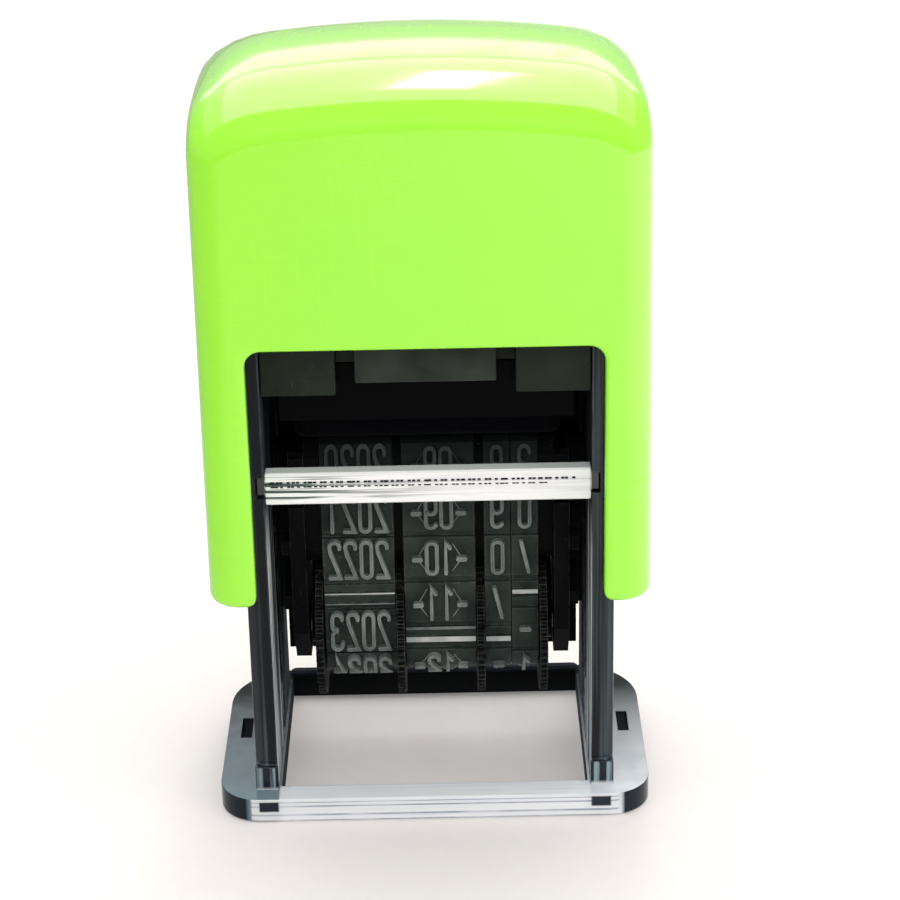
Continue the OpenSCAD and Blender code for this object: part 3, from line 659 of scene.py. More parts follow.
def bend_x(z):
    return mix(FOOT_X, CAP_X, (min(z, CORNER_Z) - LEG_Z) / (CORNER_Z - LEG_Z))


def front_y(x, z, t):
    r = radius_at(z, t)
    over = max(0.0, abs(x) - bend_x(z))
    return -(CAP_Y + math.sqrt(max(0.0, r * r - over * over)))


print("height of the cover's corners:", round(CORNER_Z, 2), "mm")


# %% Columns round the cover
def bend(sx, sy):
    return [("bend", sx, sy, a) for a in TURNS_AT]


columns = [("front", s * x) for s in (-1, 1) for x in (FRONT_X[::-1] if s < 0 else FRONT_X[1:])]
columns += bend(1, -1) + [("side", 1, y) for y in SIDE_Y] + bend(1, 1)[::-1]
columns += [("rear", -c[1]) for c in columns[:2 * len(FRONT_X) - 1]]
columns += bend(-1, 1) + [("side", -1, -y) for y in SIDE_Y] + bend(-1, -1)[::-1]


def wall_point(col, z, t):
    if col[0] in ("front", "rear"):
        x = col[1]
        if abs(x) == SIDE_X:
            x += math.copysign(pinch(z, FLARE_R), x)
        y = front_y(x, z, t)
        return (x, y if col[0] == "front" else -y, z)
    cx, r = bend_x(z), radius_at(z, t)
    if col[0] == "side":
        return (col[1] * (cx + r), col[2], z)
    sx, sy, angle = col[1:]
    end = r * math.pi / 2
    share = (end - SIDE_X - pinch(z, FLARE_R) + cx) / (end - SIDE_X + CAP_X)
    along = end - (end - r * angle) * share
    a = max(0.0, along) / r
    return (sx * (cx + min(0.0, along) + r * math.sin(a)), sy * (CAP_Y + r * math.cos(a)), z)


print("columns round the cover:", len(columns))


# %% Dome of the cover
def fall_at(place, cap, edge, fall, crown):
    """Drop and slope of the dome at one place along it."""
    flat_to = cap - edge * math.sin(FALL_END)
    a = math.asin(max(0.0, abs(place) - flat_to) / edge)
    drop = crown * (place / cap) ** 2 + fall * (1 - math.cos(a))
    slope = 2 * crown * abs(place) / cap**2 + fall / edge * math.tan(a)
    return drop, math.copysign(slope, place)


def dome_at(x, y):
    """Place and normal of the small dome."""
    drop_x, slope_x = fall_at(x, CAP_X, EDGE_X, FALL_X, CROWN_X)
    drop_y, slope_y = fall_at(y, CAP_Y, EDGE_Y, FALL_Y, CROWN_Y)
    return Vector((x, y, CAP_Z - drop_x - drop_y)), Vector((slope_x, slope_y, 1)).normalized()


def dome_point(x, y, t):
    place, normal = dome_at(x, y)
    return place + (BALL - t) * normal


def rim_frame(col):
    """Where a column meets the dome, and its level outward direction there."""
    if col[0] in ("front", "rear"):
        v = -1 if col[0] == "front" else 1
        return col[1], v * CAP_Y, Vector((0, v, 0))
    if col[0] == "side":
        return col[1] * CAP_X, col[2], Vector((col[1], 0, 0))
    sx, sy, angle = col[1:]
    return sx * CAP_X, sy * CAP_Y, Vector((sx * math.sin(angle), sy * math.cos(angle), 0))


def rim_point(col, k, t):
    x, y, level_out = rim_frame(col)
    place, normal = dome_at(x, y)
    return place + (BALL - t) * level_out.slerp(normal, k / RIM_STEPS)


# %% Weave the cover skin
points, faces = [], []


def put(point):
    points.append(point)
    return len(points) - 1


FRONT_START, FRONT_TOP = ROWS.index(48.2), ROWS.index(51.3)
REAR_START, REAR_TOP = ROWS.index(25.5), ROWS.index(28.6)
HALF_X = FRONT_X + [CAP_X]
GRID_X = [-x for x in HALF_X[:0:-1]] + HALF_X
GRID_Y = [-CAP_Y] + SIDE_Y + [CAP_Y]


def first_row(col):
    if col[0] == "front" and abs(col[1]) < SIDE_X:
        return FRONT_TOP
    if col[0] == "rear" and abs(col[1]) < SIDE_X:
        return REAR_TOP
    return 0


def weave(t):
    """One skin of the cover at depth t; returns the index of each woven point."""
    strands = []
    dome = {(x, y): put(dome_point(x, y, t)) for x in GRID_X for y in GRID_Y}
    for col in columns:
        x, y, level_out = rim_frame(col)
        top = dome_at(x, y)[0][2]
        heights = ROWS + [mix(ROWS[-1], top, f) for f in UPPER]
        strand = [None if r < first_row(col) else put(wall_point(col, z, t)) for r, z in enumerate(heights)]
        strand += [put(rim_point(col, k, t)) for k in range(1, RIM_STEPS)]
        strands.append(strand + [dome[x, y]])
    for a, b in zip(strands, strands[1:] + strands[:1]):
        for r in range(len(a) - 1):
            face = [a[r], b[r], b[r + 1], a[r + 1]]
            if None not in face:
                faces.append([i for n, i in enumerate(face) if i not in face[:n]])
    for x0, x1 in zip(GRID_X, GRID_X[1:]):
        for y0, y1 in zip(GRID_Y, GRID_Y[1:]):
            faces.append([dome[p] for p in ((x0, y0), (x1, y0), (x1, y1), (x0, y1))])
    return strands


outside = weave(0.0)
OUTER_FACES = len(faces)
inside = weave(COVER_T)
INNER_FACES = len(faces) - OUTER_FACES
print("woven faces:", OUTER_FACES, "outside and", INNER_FACES, "inside")

# %% Edges of the two windows
FRONT_COLS = [i for i, c in enumerate(columns) if c[0] == "front"]
REAR_COLS = [i for i, c in enumerate(columns) if c[0] == "rear"]
OUT_R, IN_R = 0.42, 0.25
OUT_TURN = [math.pi / 8 * k for k in range(5)]
IN_TURN = [math.pi / 6 * k for k in range(4)]
LIP = [(OUT_R * (1 - math.sin(a)), OUT_R * (1 - math.cos(a))) for a in OUT_TURN]
LIP += [(IN_R * (1 - math.cos(a)), COVER_T - IN_R + IN_R * math.sin(a)) for a in IN_TURN]


def hole_path(strands, cols, top_row):
    """The woven points round a window, up one side, across and down the other."""
    up = [strands[cols[-1]][r] for r in range(top_row + 1)]
    across = [strands[c][top_row] for c in cols[-2:0:-1]]
    down = [strands[cols[0]][r] for r in range(top_row, -1, -1)]
    return up + across + down


def lip_path(lateral, t, top, start_row, face_y):
    """A window edge drawn out by lateral, at depth t in the wall."""
    flat_path = [(WIN_X + lateral + pinch(z, FLARE_R), z) for z in ROWS[:start_row + 1]]
    for k in range(1, 7):
        a = math.radians(15 * k)
        r = WIN_R + lateral
        flat_path.append((WIN_X - WIN_R + r * math.cos(a), top - WIN_R + r * math.sin(a)))
    flat_path += [(x, top + lateral) for x in FRONT_X[5:0:-1]]
    flat_path += [(0.0, top + lateral)]
    flat_path += [(-x, z) for x, z in flat_path[-2::-1]]
    return [put((x * -face_y, front_y(x, z, t) * -face_y, z)) for x, z in flat_path]


WINDOWS = [(FRONT_COLS, FRONT_WIN_Z, FRONT_START, FRONT_TOP, -1),
           (REAR_COLS, REAR_WIN_Z, REAR_START, REAR_TOP, 1)]
for cols, top, start_row, top_row, face_y in WINDOWS:
    rings = [hole_path(outside, cols, top_row)]
    rings += [lip_path(lateral, t, top, start_row, face_y) for lateral, t in LIP]
    rings += [hole_path(inside, cols, top_row)]
    for a, b in zip(rings, rings[1:]):
        join_rings(faces, a, b, closed=False)
    faces.append([ring[0] for ring in rings])
    faces.append([ring[-1] for ring in rings])
print("windows:", len(WINDOWS), "with", len(LIP), "rings each")

# %% Close the leg ends and make the cover
for a, b in ((FRONT_COLS[-1], REAR_COLS[0]), (REAR_COLS[-1], len(columns))):
    for c in range(a, b):
        d = (c + 1) % len(columns)
        faces.append([outside[c][0], outside[d][0], inside[d][0], inside[c][0]])
kinds = [0] * OUTER_FACES + [1] * INNER_FACES + [0] * (len(faces) - OUTER_FACES - INNER_FACES)
cover = add_piece("cover_skin", points, faces, "cover", "lime_plastic", [lime, shaded], "cover_shell",
                  sharp=50, kinds=kinds)
print("cover skin", len(cover.data.vertices), "points,", len(cover.data.polygons), "faces")


# %% [markdown]
# ## Inside the cover
# Each leg has a bearing boss for the carriage and two ribs that guide the frame, and a
# spigot under the top keeps the spring upright. Turned details are easiest as a lathe:
# a list of (along, radius) pairs swept round an axis. The ribs are blocks with cut edges.

# %% Helpers for turned pieces and blocks
def lathe(profile, centre, axis, hollow=True, steps=40):
    sections = []
    for along, radius in profile:
        section = []
        for k in range(steps):
            a = 2 * math.pi * k / steps
            c, s = radius * math.cos(a), radius * math.sin(a)
            p = (along, c, s) if axis == "x" else (c, s, along)
            section.append(tuple(q + m for q, m in zip(p, centre)))
        sections.append(section)
    return loft(sections, hollow)


def brick(x, y, z, cut):
    """A block with its twelve edges cut back, written as four rings."""
    sections = []
    for level_z, inset in ((z[0], cut), (z[0] + cut, 0), (z[1] - cut, 0), (z[1], cut)):
        x0, x1, y0, y1 = x[0] + inset, x[1] - inset, y[0] + inset, y[1] - inset
        outline = ((x0 + cut, y0), (x1 - cut, y0), (x1, y0 + cut), (x1, y1 - cut),
                   (x1 - cut, y1), (x0 + cut, y1), (x0, y1 - cut), (x0, y0 + cut))
        sections.append([(px, py, level_z) for px, py in outline])
    return loft(sections)


def on_sides(near, far):
    """The same span to the left and to the right of the middle."""
    return (-far, -near), (near, far)


def merge_lists(*parts):
    made, skin = [], []
    for some, some_faces in parts:
        start = len(made)
        made += some
        skin += [[i + start for i in f] for f in some_faces]
    return made, skin


# %% Bosses, guide ribs and spigot
PIVOT_Z = 27.8
BOSS = [(18.1, 1.95), (18.1, 3.0), (18.3, 3.2), (20.6, 3.2), (20.6, 1.75), (18.3, 1.75)]
bosses = [lathe([(s * a, r) for a, r in BOSS], (0, 0, PIVOT_Z), "x") for s in (-1, 1)]
ribs = [brick(x, (y, y + 1.2), (30.0, 60.0), 0.2) for x in on_sides(18.1, 20.0) for y in (-8.5, 7.3)]
SPIGOT = [(71.6, 2.5), (72.0, 2.9), (74.4, 2.9)]
add_piece("cover_bosses", *merge_lists(*bosses), "cover", "lime_plastic", [shaded])
add_piece("cover_guides", *merge_lists(*ribs), "cover", "lime_plastic", [shaded])
add_piece("cover_spigot", *lathe(SPIGOT, (0, 0, 0), "z", hollow=False), "cover", "lime_plastic", [shaded])
print("inside of the cover: 2 bosses,", len(ribs), "ribs, 1 spigot")

# %% [markdown]
# ## The date bands
# A band is a rubber loop that runs over the nose bar and round its wheel. Its blocks,
# grooves and seam are heights along the loop, so the mesh is a loft: a list of places
# along the way, each with its own height, and one six-sided section at every place.
# The way is measured as a length q from the middle of the nose, going down the front.

# %% The way of a band, in millimetres
NOSE_C, NOSE_RR, BAND_R, BAND_T, WHEEL_Z = 2.2, 0.7, 3.45, 0.85, 15.2
NOSE_Z = 35.35
PITCH, FIRST = 4.95, 3.75
reach = math.hypot(NOSE_C, NOSE_Z - WHEEL_Z)
RUN_B = math.atan2(NOSE_Z - WHEEL_Z, NOSE_C) - math.acos((BAND_R - NOSE_RR) / reach)
RUN_L = math.sqrt(reach**2 - (BAND_R - NOSE_RR) ** 2)
WAY_O = BAND_T + 0.35
WAY_C = (NOSE_RR + WAY_O) * (math.pi / 2 - RUN_B)
WAY_W = (BAND_R + WAY_O) * (math.pi + 2 * RUN_B)
WAY_ALL = 2 * NOSE_C + 2 * WAY_C + 2 * RUN_L + WAY_W
TO_RUN = NOSE_C + WAY_C
TO_WHEEL = TO_RUN + RUN_L
TO_BACK = TO_WHEEL + WAY_W
BENDS = [(NOSE_C, TO_RUN), (TO_WHEEL, TO_BACK), (WAY_ALL - TO_RUN, WAY_ALL - NOSE_C)]


def way_at(q):
    """Place (y, z) on the inner face and outward angle at length q."""
    q %= WAY_ALL
    if q < NOSE_C:
        return -q, NOSE_Z + NOSE_RR, math.pi / 2
    if q < TO_RUN:
        a = math.pi / 2 + (q - NOSE_C) / (NOSE_RR + WAY_O)
        return -NOSE_C + NOSE_RR * math.cos(a), NOSE_Z + NOSE_RR * math.sin(a), a
    if q < TO_WHEEL:
        a, t = math.pi - RUN_B, q - TO_RUN
        return (-NOSE_C + NOSE_RR * math.cos(a) - t * math.sin(RUN_B),
                NOSE_Z + NOSE_RR * math.sin(a) - t * math.cos(RUN_B), a)
    if q < TO_BACK:
        a = math.pi - RUN_B + (q - TO_WHEEL) / (BAND_R + WAY_O)
        return BAND_R * math.cos(a), WHEEL_Z + BAND_R * math.sin(a), a
    y, z, a = way_at(WAY_ALL - q)
    return -y, z, math.pi - a


def on_way(x, q, o):
    y, z, a = way_at(q)
    return x, y + o * math.cos(a), z + o * math.sin(a)


print("way round a band", round(WAY_ALL, 2), "mm")

# %% [markdown]
# The blocks are parted by narrow grooves. Where the ends of the rubber were joined in
# the mould there is a plain strip with one or two thin ridges across it, which catch the
# light more than anything else on the band, so they are painted pale as painted highlight.

# %% Blocks and seams along a band
TOP_H, FLOOR_H, STRIP_H, RIDGE_H = 1.30, 0.90, 1.12, 1.27
# Height, rounding and tone of each kind of stretch
STRETCHES = {"block": (TOP_H, 0.07, 0), "strip": (STRIP_H, 0.07, 0), "ridge": (RIDGE_H, 0.05, 1),
             "faint": (RIDGE_H, 0.05, 2)}
# The block that the seam follows, the seam's length, and its stretches
SEAMS = {"year": (3, 2.84, [("strip", 0.42, 1.28), ("ridge", 1.34, 1.52), ("strip", 1.58, 2.42),
                            ("faint", 2.46, 2.62)]),
         "month": (4, 2.46, [("faint", 0.24, 0.56), ("strip", 0.62, 1.28), ("ridge", 1.34, 1.92)]),
         "units": (4, 2.57, [("strip", 0.30, 1.30), ("ridge", 1.40, 1.96)]),
         "tens": (3, 2.95, [("strip", 0.35, 1.20), ("ridge", 1.28, 1.74), ("strip", 2.05, 2.50)])}
BLOCKS, HALF_GROOVE, SLOPE = 12, 0.3, 0.03


def block_middle(key, i):
    """Middle of block i along the way; block 0 lies on the nose."""
    after, length = SEAMS[key][:2]
    if i == 0:
        return 0.0
    return FIRST + PITCH * (i - 0.5) + (length if i > after else 0.0)


def band_spans(key):
    """Stretches (kind, start, end) along the way, in order."""
    after, seam = SEAMS[key][0], SEAMS[key][2]
    spans = []
    for i in range(BLOCKS):
        mid = block_middle(key, i)
        spans.append(("block", mid - PITCH / 2 + HALF_GROOVE, mid + PITCH / 2 - HALF_GROOVE))
        if i == after:
            start = mid + PITCH / 2
            spans += [(kind, start + a, start + b) for kind, a, b in seam]
    return spans


# %% Loft the bands
BENT_STEP, STRAIGHT_STEP, BAND_CUT = 0.35, 2.5, 0.08
LANES = {"year": (-10.60, -3.52), "month": (-2.63, 4.44), "units": (5.33, 7.92), "tens": (7.98, 10.65)}
BANDS = {"year": "year_band", "month": "month_band", "units": "day_units_band", "tens": "day_tens_band"}


def band_marks(spans):
    """Places (q, height, tone) along the way, with each stretch's edges rounded."""
    marks = []
    for kind, a, b in spans:
        h, soft, tone = STRETCHES[kind]
        marks += [(a - SLOPE, FLOOR_H, 0), (a, h - soft, tone), (a + soft, h, tone)]
        marks += [(b - soft, h, tone), (b, h - soft, tone), (b + SLOPE, FLOOR_H, 0)]
    full = []
    for (qa, ha, pa), (qb, hb, pb) in zip(marks, marks[1:]):
        full.append((qa, ha, pa))
        bent = any(qa < e and qb > s for s, e in BENDS)
        cuts = max(1, math.ceil((qb - qa) / (BENT_STEP if bent else STRAIGHT_STEP)))
        for c in range(1, cuts):
            full.append((mix(qa, qb, c / cuts), mix(ha, hb, c / cuts), min(pa, pb)))
    full.append(marks[-1])
    return full


def loft_band(key, node):
    (x0, x1), cut = LANES[key], BAND_CUT
    marks = band_marks(band_spans(key))
    sections, kinds = [], []
    for q, h, tone in marks:
        outline = ((x0, 0), (x1, 0), (x1, h - cut), (x1 - cut, h), (x0 + cut, h), (x0, h - cut))
        sections.append([on_way(x, q, o) for x, o in outline])
    for here, after in zip(marks, marks[1:] + marks[:1]):
        kinds += [0, 0, 0, min(here[2], after[2]), 0, 0]
    return add_piece(key + "_rubber", *loft(sections, closed=True), "carriage", "band_rubber",
                     [rubber, ridge_highlight, figure], node, sharp=40, kinds=kinds)


for key, node in BANDS.items():
    band = loft_band(key, node)
    print(band.name, len(band.data.polygons), "faces")

# %% [markdown]
# ## The raised figures
# Type for a stamp is cut backwards and stands up like a small ridge with sloping sides.
# Each figure is a set of strokes, drawn as lines and arcs in a tall narrow box. A stroke
# becomes a ridge by offsetting its line to both sides at several heights. The ridge is
# then wrapped on the band with the same way function, mirrored left to right.

# %% Strokes of the figures
FIG_W, FIG_H = 1.00, 3.62
HALF, TALL = FIG_W / 2, FIG_H / 2
BOWL = TALL - HALF


def turn(cx, cy, rx, ry, start, end, steps=8):
    return [(cx + rx * math.cos(math.radians(mix(start, end, i / steps))),
             cy + ry * math.sin(math.radians(mix(start, end, i / steps)))) for i in range(steps + 1)]


def oval(low, high, half):
    return turn(0, high - half, half, half, 0, 180) + turn(0, low + half, half, half, 180, 360)


SIX = (turn(0, BOWL, HALF, HALF, 20, 180) + turn(0, -BOWL, HALF, HALF, 180, 360)
       + turn(0, -0.28, HALF, HALF, 0, 165))
STROKES = {
    "0": [(oval(-TALL, TALL, HALF), True)],
    "1": [([(-0.30, 1.18), (0.12, TALL), (0.12, -TALL)], False)],
    "2": [(turn(0, BOWL, HALF, HALF, 195, 0) + [(0.42, 0.75), (-HALF, -TALL), (HALF, -TALL)], False)],
    "3": [(turn(0, BOWL, HALF, HALF, 190, 0) + turn(0, 0.60, HALF, 0.52, 0, -80, 5)
           + turn(0, -0.48, HALF, 0.52, 80, 0, 5) + turn(0, -BOWL, HALF, HALF, 0, -190), False)],
    "4": [([(0.22, -TALL), (0.22, TALL), (-HALF, -0.70), (HALF, -0.70)], False)],
    "5": [([(0.44, TALL), (-0.42, TALL), (-0.46, 0.25)] + turn(0, 0.02, HALF, 0.46, 130, 0)
           + turn(0, -BOWL, HALF, HALF, 0, -190), False)],
    "6": [(SIX, False)],
    "7": [([(-HALF, TALL), (HALF, TALL), (-0.12, -TALL)], False)],
    "8": [(oval(0.02, TALL, 0.46), True), (oval(-TALL, 0.02, HALF), True)],
    "9": [([(-x, -y) for x, y in SIX], False)],
    "/": [([(-0.36, -1.72), (0.36, 1.72)], False)],
}
print("strokes for", len(STROKES), "signs")

# %% Turn a stroke into a ridge
RIDGE = [(-0.235, 1.27), (-0.185, 1.79), (-0.145, 1.85), (0.145, 1.85), (0.185, 1.79), (0.235, 1.27)]
SHOULDER_H, NEAREST = 1.5, 0.02
# Distance past a stroke's end, share of the width, and drop of the top
TIP_STEPS = ((0.09, 0.88, 0.0), (0.15, 0.55, 0.03), (0.20, 0.35, 0.3))


def clean(path):
    """Leaves out places that lie too close to the one before."""
    kept = [path[0]]
    for p in path[1:]:
        if math.dist(p, kept[-1]) > NEAREST:
            kept.append(p)
    return kept


def side_steps(path, closed):
    """Sideways direction at each place of a line, lengthened a little at its corners."""
    steps = []
    count = len(path)
    for i in range(count):
        before = path[i - 1] if closed or i else path[i]
        after = path[(i + 1) % count] if closed or i < count - 1 else path[i]
        here = path[i]
        ways = []
        for a, b in ((before, here), (here, after)):
            length = math.dist(a, b)
            if length > 1e-6:
                ways.append((-(b[1] - a[1]) / length, (b[0] - a[0]) / length))
        sx, sy = sum(w[0] for w in ways), sum(w[1] for w in ways)
        size = math.hypot(sx, sy) or 1.0
        sx, sy = sx / size, sy / size
        lean = max(0.45, sx * ways[0][0] + sy * ways[0][1])
        steps.append((sx / lean, sy / lean))
    return steps


def ridge_of(path, closed, place, section=RIDGE):
    """A ridge along a line; place turns (glyph x, glyph y, height) into a point."""
    path = clean(path)
    if closed and math.dist(path[0], path[-1]) < NEAREST:
        path = path[:-1]
    steps = side_steps(path, closed)
    stations = [(p, s, 1.0, 0.0) for p, s in zip(path, steps)]
    if not closed:
        ends = []
        for tip, inner, s in ((path[0], path[1], steps[0]), (path[-1], path[-2], steps[-1])):
            length = math.dist(tip, inner)
            way = ((tip[0] - inner[0]) / length, (tip[1] - inner[1]) / length)
            ends.append([((tip[0] + way[0] * d, tip[1] + way[1] * d), s, w, drop)
                         for d, w, drop in TIP_STEPS])
        stations = ends[0][::-1] + stations + ends[1]
    sections = []
    for p, s, w, drop in stations:
        sections.append([place(p[0] + s[0] * side * w, p[1] + s[1] * side * w,
                               h - drop if h > SHOULDER_H else h) for side, h in section])
    return loft(sections, closed)


# %% Set the figures on the bands
YEARS = [str(y) for y in range(2019, 2031)]
MONTHS = [f"{(m + 5) % 12 + 1:02d}" for m in range(1, 13)]
UNITS = ["7", "8", "9", "0", "/", "-", "1", "2", "3", "4", "5", "6"]
TENS = ["2", "3", "0", "/", "-", "1", "2", "3", "0", "/", "-", "1"]
DASH = [(-0.30, 1.27), (-0.25, 1.79), (-0.20, 1.85), (0.20, 1.85), (0.25, 1.79), (0.30, 1.27)]
GUSSET = [(-0.06, 1.27), (-0.04, 1.40), (-0.02, 1.43), (0.02, 1.43), (0.04, 1.40), (0.06, 1.27)]


def on_block(key, i, shift=0.0, tall=1.0):
    """Gives a function that puts (glyph x, glyph y, height) on block i, mirrored left to right."""
    middle, mid_q = sum(LANES[key]) / 2, block_middle(key, i)
    return lambda gx, gy, h: on_way(middle - shift - gx, mid_q - gy * tall, h)


def set_figures(key, words, step, tall, hyphens=False):
    """Sets one word on each block of a band, with a propped hyphen on either side if asked."""
    parts = []
    for i, word in enumerate(words):
        for n, letter in enumerate(word):
            place = on_block(key, i, (n - (len(word) - 1) / 2) * step, tall)
            if letter == "-":
                parts.append(ridge_of([(-0.42, 0), (0.42, 0)], False, place, DASH))
            else:
                parts += [ridge_of(path, closed, place) for path, closed in STROKES[letter]]
        place = on_block(key, i)
        for s in (-1, 1) if hyphens else ():
            parts.append(ridge_of([(s * 1.82, -0.1), (s * 2.55, -0.1)], False, place, DASH))
            for up in (-1, 1):
                prop = [(s * 2.0, up * 0.35 - 0.1), (s * 1.36, up * 1.35)]
                parts.append(ridge_of(prop, False, place, GUSSET))
    add_piece(key + "_figures", *merge_lists(*parts), "carriage", "band_rubber", [figure], sharp=30)


set_figures("year", YEARS, 1.56, 1.05)
set_figures("month", MONTHS, 1.50, 0.91, hyphens=True)
set_figures("units", UNITS, 1.5, 0.92)
set_figures("tens", TENS, 1.5, 0.94)
print("months in order:", MONTHS)

# %% [markdown]
# ## Spring and ink pad
# The spring is a wire swept along a helix whose end turns lie closer together. The pad
# is felt: a slab with rounded edges, bowed a little on its lower face, where the type
# is pressed into it.

# %% Return spring
WIRE_R, COIL_R, TURNS = 0.4, 3.9, 8
SPRING_LOW, SPRING_HIGH, SPRING_GAP = 48.0, 73.8, 0.05
COIL_H = SPRING_HIGH - SPRING_LOW - 2 * (WIRE_R + SPRING_GAP)
COIL_STEPS, WIRE_SIDES = TURNS * 32, 10


def coil_point(t, q):
    a = 2 * math.pi * TURNS * t
    lift = SPRING_LOW + WIRE_R + SPRING_GAP + COIL_H * (t - 0.045 * math.sin(2 * math.pi * t))
    e = COIL_R + WIRE_R * math.cos(q)
    return e * math.cos(a), e * math.sin(a), lift + WIRE_R * math.sin(q)


coil = [[coil_point(i / COIL_STEPS, 2 * math.pi * k / WIRE_SIDES) for k in range(WIRE_SIDES)]
        for i in range(COIL_STEPS + 1)]
spring = add_piece("spring_wire", *loft(coil), "frame", "spring_steel", [steel], "return_spring")
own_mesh(spring)
print("spring", len(spring.data.polygons), "faces")

# %% Ink pad
PAD_X, PAD_Y, PAD_LOW, PAD_HIGH, PAD_R = 12.72, 6.22, 38.07, 45.4, 0.7


def pad_ring(inset, z):
    ring = []
    x, y, r = PAD_X - inset, PAD_Y - inset, max(0.15, 1.0 - inset)
    for sx, sy, start in ((1, 1, 0), (-1, 1, 90), (-1, -1, 180), (1, -1, 270)):
        for k in range(6):
            a = math.radians(start + 18 * k)
            ring.append((sx * (x - r) + r * math.cos(a), sy * (y - r) + r * math.sin(a), z))
    return ring


levels = [(0.0, PAD_HIGH), (0.0, PAD_LOW + PAD_R)]
levels += [(PAD_R * (1 - math.cos(a)), PAD_LOW + PAD_R * (1 - math.sin(a)))
           for a in [math.radians(18 * k) for k in range(1, 6)]]
levels += [(1.6, PAD_LOW + 0.03), (3.2, PAD_LOW + 0.08), (5.2, PAD_LOW + 0.10)]
slab = loft([pad_ring(inset, z) for inset, z in levels])
pad = add_piece("pad_felt", *slab, "frame", "ink_felt", [felt], "ink_pad", sharp=60)
print("pad", len(pad.data.polygons), "faces")

# %% [markdown]
# ## The clear crossbar
# The bar that closes the front of the frame is clear plastic with a thick lower lip, a
# flat face and a small step under its top edge, where rows of tiny teeth show as dotted
# lines. It is one section swept from side to side, and the teeth are small wedges painted
# dark as painted shade. Low on the rear bar of the frame lies a plain dark block, a sheet
# of painted shade.

# %% Crossbar
BAR_X, BAR_CUT = 15.45, 0.08
BAR_MID, BAR_HALF = (-9.85, 34.8), (0.85, 1.6)
BAR = [(-10.58, 33.20), (-10.70, 33.32), (-10.70, 33.72), (-10.55, 33.84), (-10.55, 35.02), (-10.62, 35.08),
       (-10.62, 35.26), (-10.48, 35.32), (-10.48, 35.52), (-10.62, 35.58), (-10.62, 36.22), (-10.46, 36.40),
       (-9.16, 36.40), (-9.00, 36.24), (-9.00, 35.40), (-9.45, 35.30), (-9.45, 34.30), (-9.00, 34.20),
       (-9.00, 33.32), (-9.12, 33.20)]
sections = []
for x, inset in ((-BAR_X, BAR_CUT), (-BAR_X + BAR_CUT, 0.0), (BAR_X - BAR_CUT, 0.0), (BAR_X, BAR_CUT)):
    sections.append([(x, mix(y, BAR_MID[0], inset / BAR_HALF[0]), mix(z, BAR_MID[1], inset / BAR_HALF[1]))
                     for y, z in BAR])
snaps = [brick(x, (-10.4, -9.0), (34.0, 36.0), 0.12) for x in on_sides(15.3, 16.3)]
add_piece("crossbar_clear", *merge_lists(loft(sections), *snaps), "frame", "clear_plastic", [lit_milky_bar],
          "front_crossbar", sharp=25)
print("crossbar with", len(BAR), "corners in its section and", len(snaps), "snaps")

# %% Teeth of the crossbar, and a block of painted shade on the rear bar
TOOTH_STEP = 0.52
teeth = []
for row, z, low, high in ((0, 35.42, -15.0, 14.6), (1, 34.98, -15.0, 11.6)):
    count = int((high - low) / TOOTH_STEP)
    for n in range(count):
        x = low + TOOTH_STEP * n + 0.1 * math.sin(n * 2.3 + row)
        wide = 0.30 if n % 7 else 0.44
        teeth.append(brick((x, x + wide), (-10.60, -10.40), (z - 0.07, z + 0.07), 0.02))
# The teeth are painted dark, as painted shade seen through the bar
add_piece("crossbar_teeth", *merge_lists(*teeth), "frame", "dark_plastic", [recess])
# A dark block on the rear bar, as painted shade
rear_shade_block = brick((-15.4, 15.4), (12.1, 13.2), (2.3, 2.97), 0.2)
add_piece("rear_bar_painted_shade", *rear_shade_block, "frame", "smoke_plastic", [recess])
print("crossbar with", len(teeth), "teeth, rear bar with a bead")

# %% [markdown]
# ## The solids that stay
# The frame, housing, cheeks and wheels already have the right shape. They only need
# rounded edges and a finish. Modifiers do not touch the mesh itself: one welds the
# triangles, one merges flat faces, a bevel rounds the edges and the last evens normals.

# %% Dress the kept solids
KEPT = [("base_frame", 0.22, smoke), ("pad_housing", 0.15, dark), ("pad_cartridge", 0.15, tab),
        ("left_cheek", 0.15, black), ("right_cheek", 0.15, black), ("nose_bar", 0.10, black),
        ("carriage_tie", 0.15, black), ("wheel_shaft", 0.12, steel), ("year_wheel", 0.05, wheel),
        ("month_wheel", 0.05, wheel), ("day_units_wheel", 0.05, wheel), ("day_tens_wheel", 0.05, wheel)]
for name, width, finish in KEPT:
    soften(name, width, finish)
print("kept solids:", len(KEPT))

# %% [markdown]
# ## Floor and light
# The stage is a pale floor under soft studio light. To the camera the floor goes over to
# white with distance from the stamp, and in reflections it is brighter on the right, by
# mixing in an emission for those rays only. For all other light it is an ordinary pale
# surface, so the stamp keeps its soft shadow. Two lamps light without showing in
# reflections, and one gives the top of the cover its sheen without lighting anything.

# %% Floor
FLOOR_HALF, FLOOR_Z = 3.0, -0.0001
CORNERS = ((-1, -1), (1, -1), (1, 1), (-1, 1))
floor_mesh = bpy.data.meshes.new("pale_floor")
floor_mesh.from_pydata([(x * FLOOR_HALF, y * FLOOR_HALF, FLOOR_Z) for x, y in CORNERS], [], [(0, 1, 2, 3)])
floor = bpy.data.objects.new("pale_floor", floor_mesh)
scene.collection.objects.link(floor)
floor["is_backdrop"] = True
print("floor", 2 * FLOOR_HALF, "m wide")

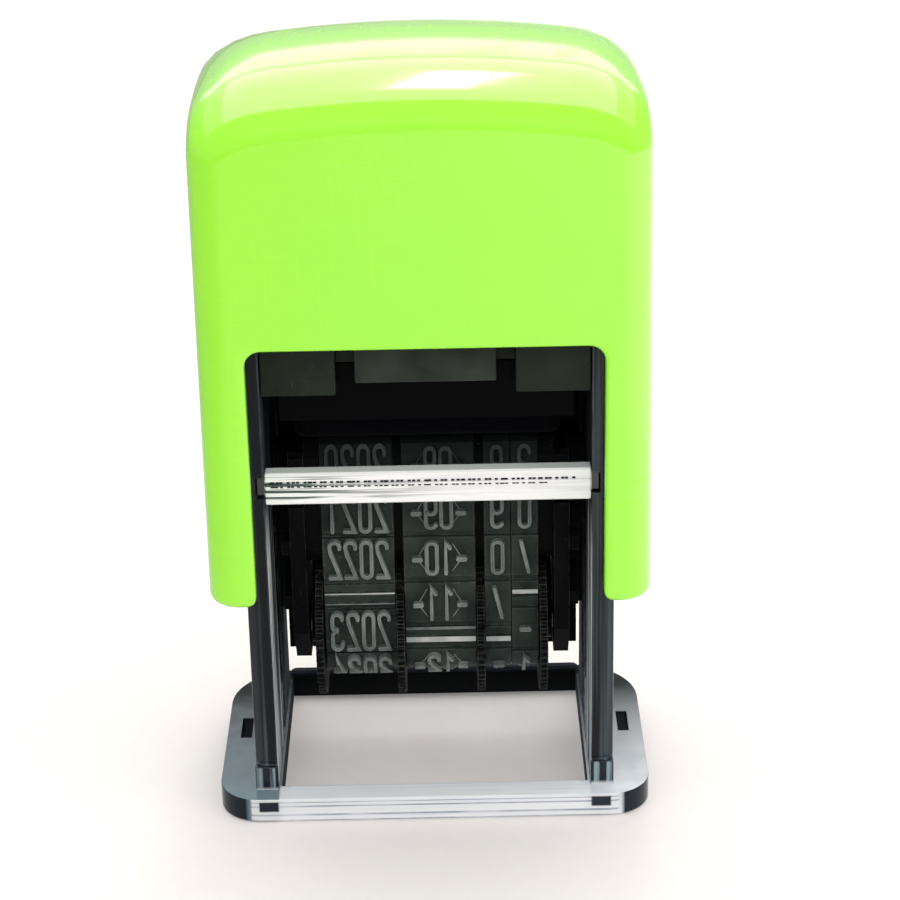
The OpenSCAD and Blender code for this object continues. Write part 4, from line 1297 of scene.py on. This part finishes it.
# %% Floor finish
NEAR, FAR, NEAR_SHARE = 0.10, 0.55, 0.08
MIRRORED_SHARE = 0.64
paper, tree, shader = open_finish("pale_paper", Roughness=0.9)
fibre = noise(tree, 700.0, 4.0)
tree.links.new(blend_colours(tree, fibre, (0.83, 0.785, 0.765), (0.87, 0.825, 0.805)),
               shader.inputs["Base Color"])
ray = tree.nodes.new("ShaderNodeLightPath")
over, back = place_axis(tree, "X"), place_axis(tree, "Y")
away = calc(tree, "ADD", calc(tree, "MULTIPLY", over, over), calc(tree, "MULTIPLY", back, back))
away = spread(tree, calc(tree, "SQRT", away), NEAR, FAR, NEAR_SHARE, 1.0)
seen = calc(tree, "MAXIMUM", ray.outputs["Is Camera Ray"], ray.outputs["Is Transmission Ray"])
mirrored = calc(tree, "MULTIPLY", ray.outputs["Is Glossy Ray"], MIRRORED_SHARE)
seen = calc(tree, "MAXIMUM", calc(tree, "MULTIPLY", seen, away), mirrored)
room = fade(tree, over, -0.10, 0.03, (0.02, 0.03, 0.01), (1.0, 0.98, 0.97))
room = fade(tree, over, 0.03, 0.13, room, (1.8, 1.76, 1.72))
glow = tree.nodes.new("ShaderNodeEmission")
tree.links.new(blend_colours(tree, ray.outputs["Is Glossy Ray"], (1.0, 0.95, 0.925), room),
               glow.inputs["Color"])
mix_shaders(tree, seen, shader.outputs["BSDF"], glow.outputs["Emission"])
floor_mesh.materials.append(paper)
print("finish", paper.name)

# %% World
world = bpy.data.worlds.new("studio")
scene.world = world
world.use_nodes = True
tree = world.node_tree
soft = tree.nodes["Background"]
soft.inputs["Color"].default_value = (1.0, 0.99, 0.985, 1.0)
soft.inputs["Strength"].default_value = 0.52
white = tree.nodes.new("ShaderNodeBackground")
white.inputs["Color"].default_value = (0.995, 0.945, 0.92, 1.0)
white.inputs["Strength"].default_value = 1.0
ray = tree.nodes.new("ShaderNodeLightPath")
seen = calc(tree, "MAXIMUM", ray.outputs["Is Camera Ray"], ray.outputs["Is Transmission Ray"])
mix_shaders(tree, seen, soft.outputs["Background"], white.outputs["Background"], "World Output")
print("world", world.name)


# %% Lamps
def lamp(name, place, aim, width, height, watts):
    data = bpy.data.lights.new(name, "AREA")
    data.shape = "RECTANGLE"
    data.size = width
    data.size_y = height
    data.energy = watts
    light = bpy.data.objects.new(name, data)
    light.location = Vector(place)
    light.rotation_euler = (Vector(aim) - Vector(place)).to_track_quat("-Z", "Y").to_euler()
    scene.collection.objects.link(light)
    return light


lamp("ceiling", (0.0, 0.55, 0.95), (0.0, 0.55, 0.0), 1.3, 1.7, 9.0)
veil = lamp("ceiling_sheen", (0.0, 0.55, 0.96), (0.0, 0.55, 0.0), 2.4, 1.7, 9.6)
veil.visible_diffuse = False
lamp("rear_strip", (0.0, 1.5, 0.72), (0, 0, 0.07), 2.2, 0.36, 3.8)
lamp("overhead", (0.03, 0.22, 0.90), (0, 0, 0.07), 0.10, 0.46, 1.5)
for card in (lamp("right_card", (0.75, -0.25, 0.42), (0, 0, 0.045), 0.5, 0.6, 2.0),
             lamp("front_fill", (0.05, -0.95, 0.75), (0, 0, 0.01), 0.9, 0.6, 4.0)):
    card.visible_glossy = False

# %% [markdown]
# ## Last checks
# The view transform stays Standard so that colours come out as they are written. The
# box of the dressed stamp is printed, in millimetres.

# %% Finish
scene.view_settings.view_transform = "Standard"
bpy.context.view_layer.update()
low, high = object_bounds()
print("size, mm:", [round((b - a) / MM, 2) for a, b in zip(low, high)])
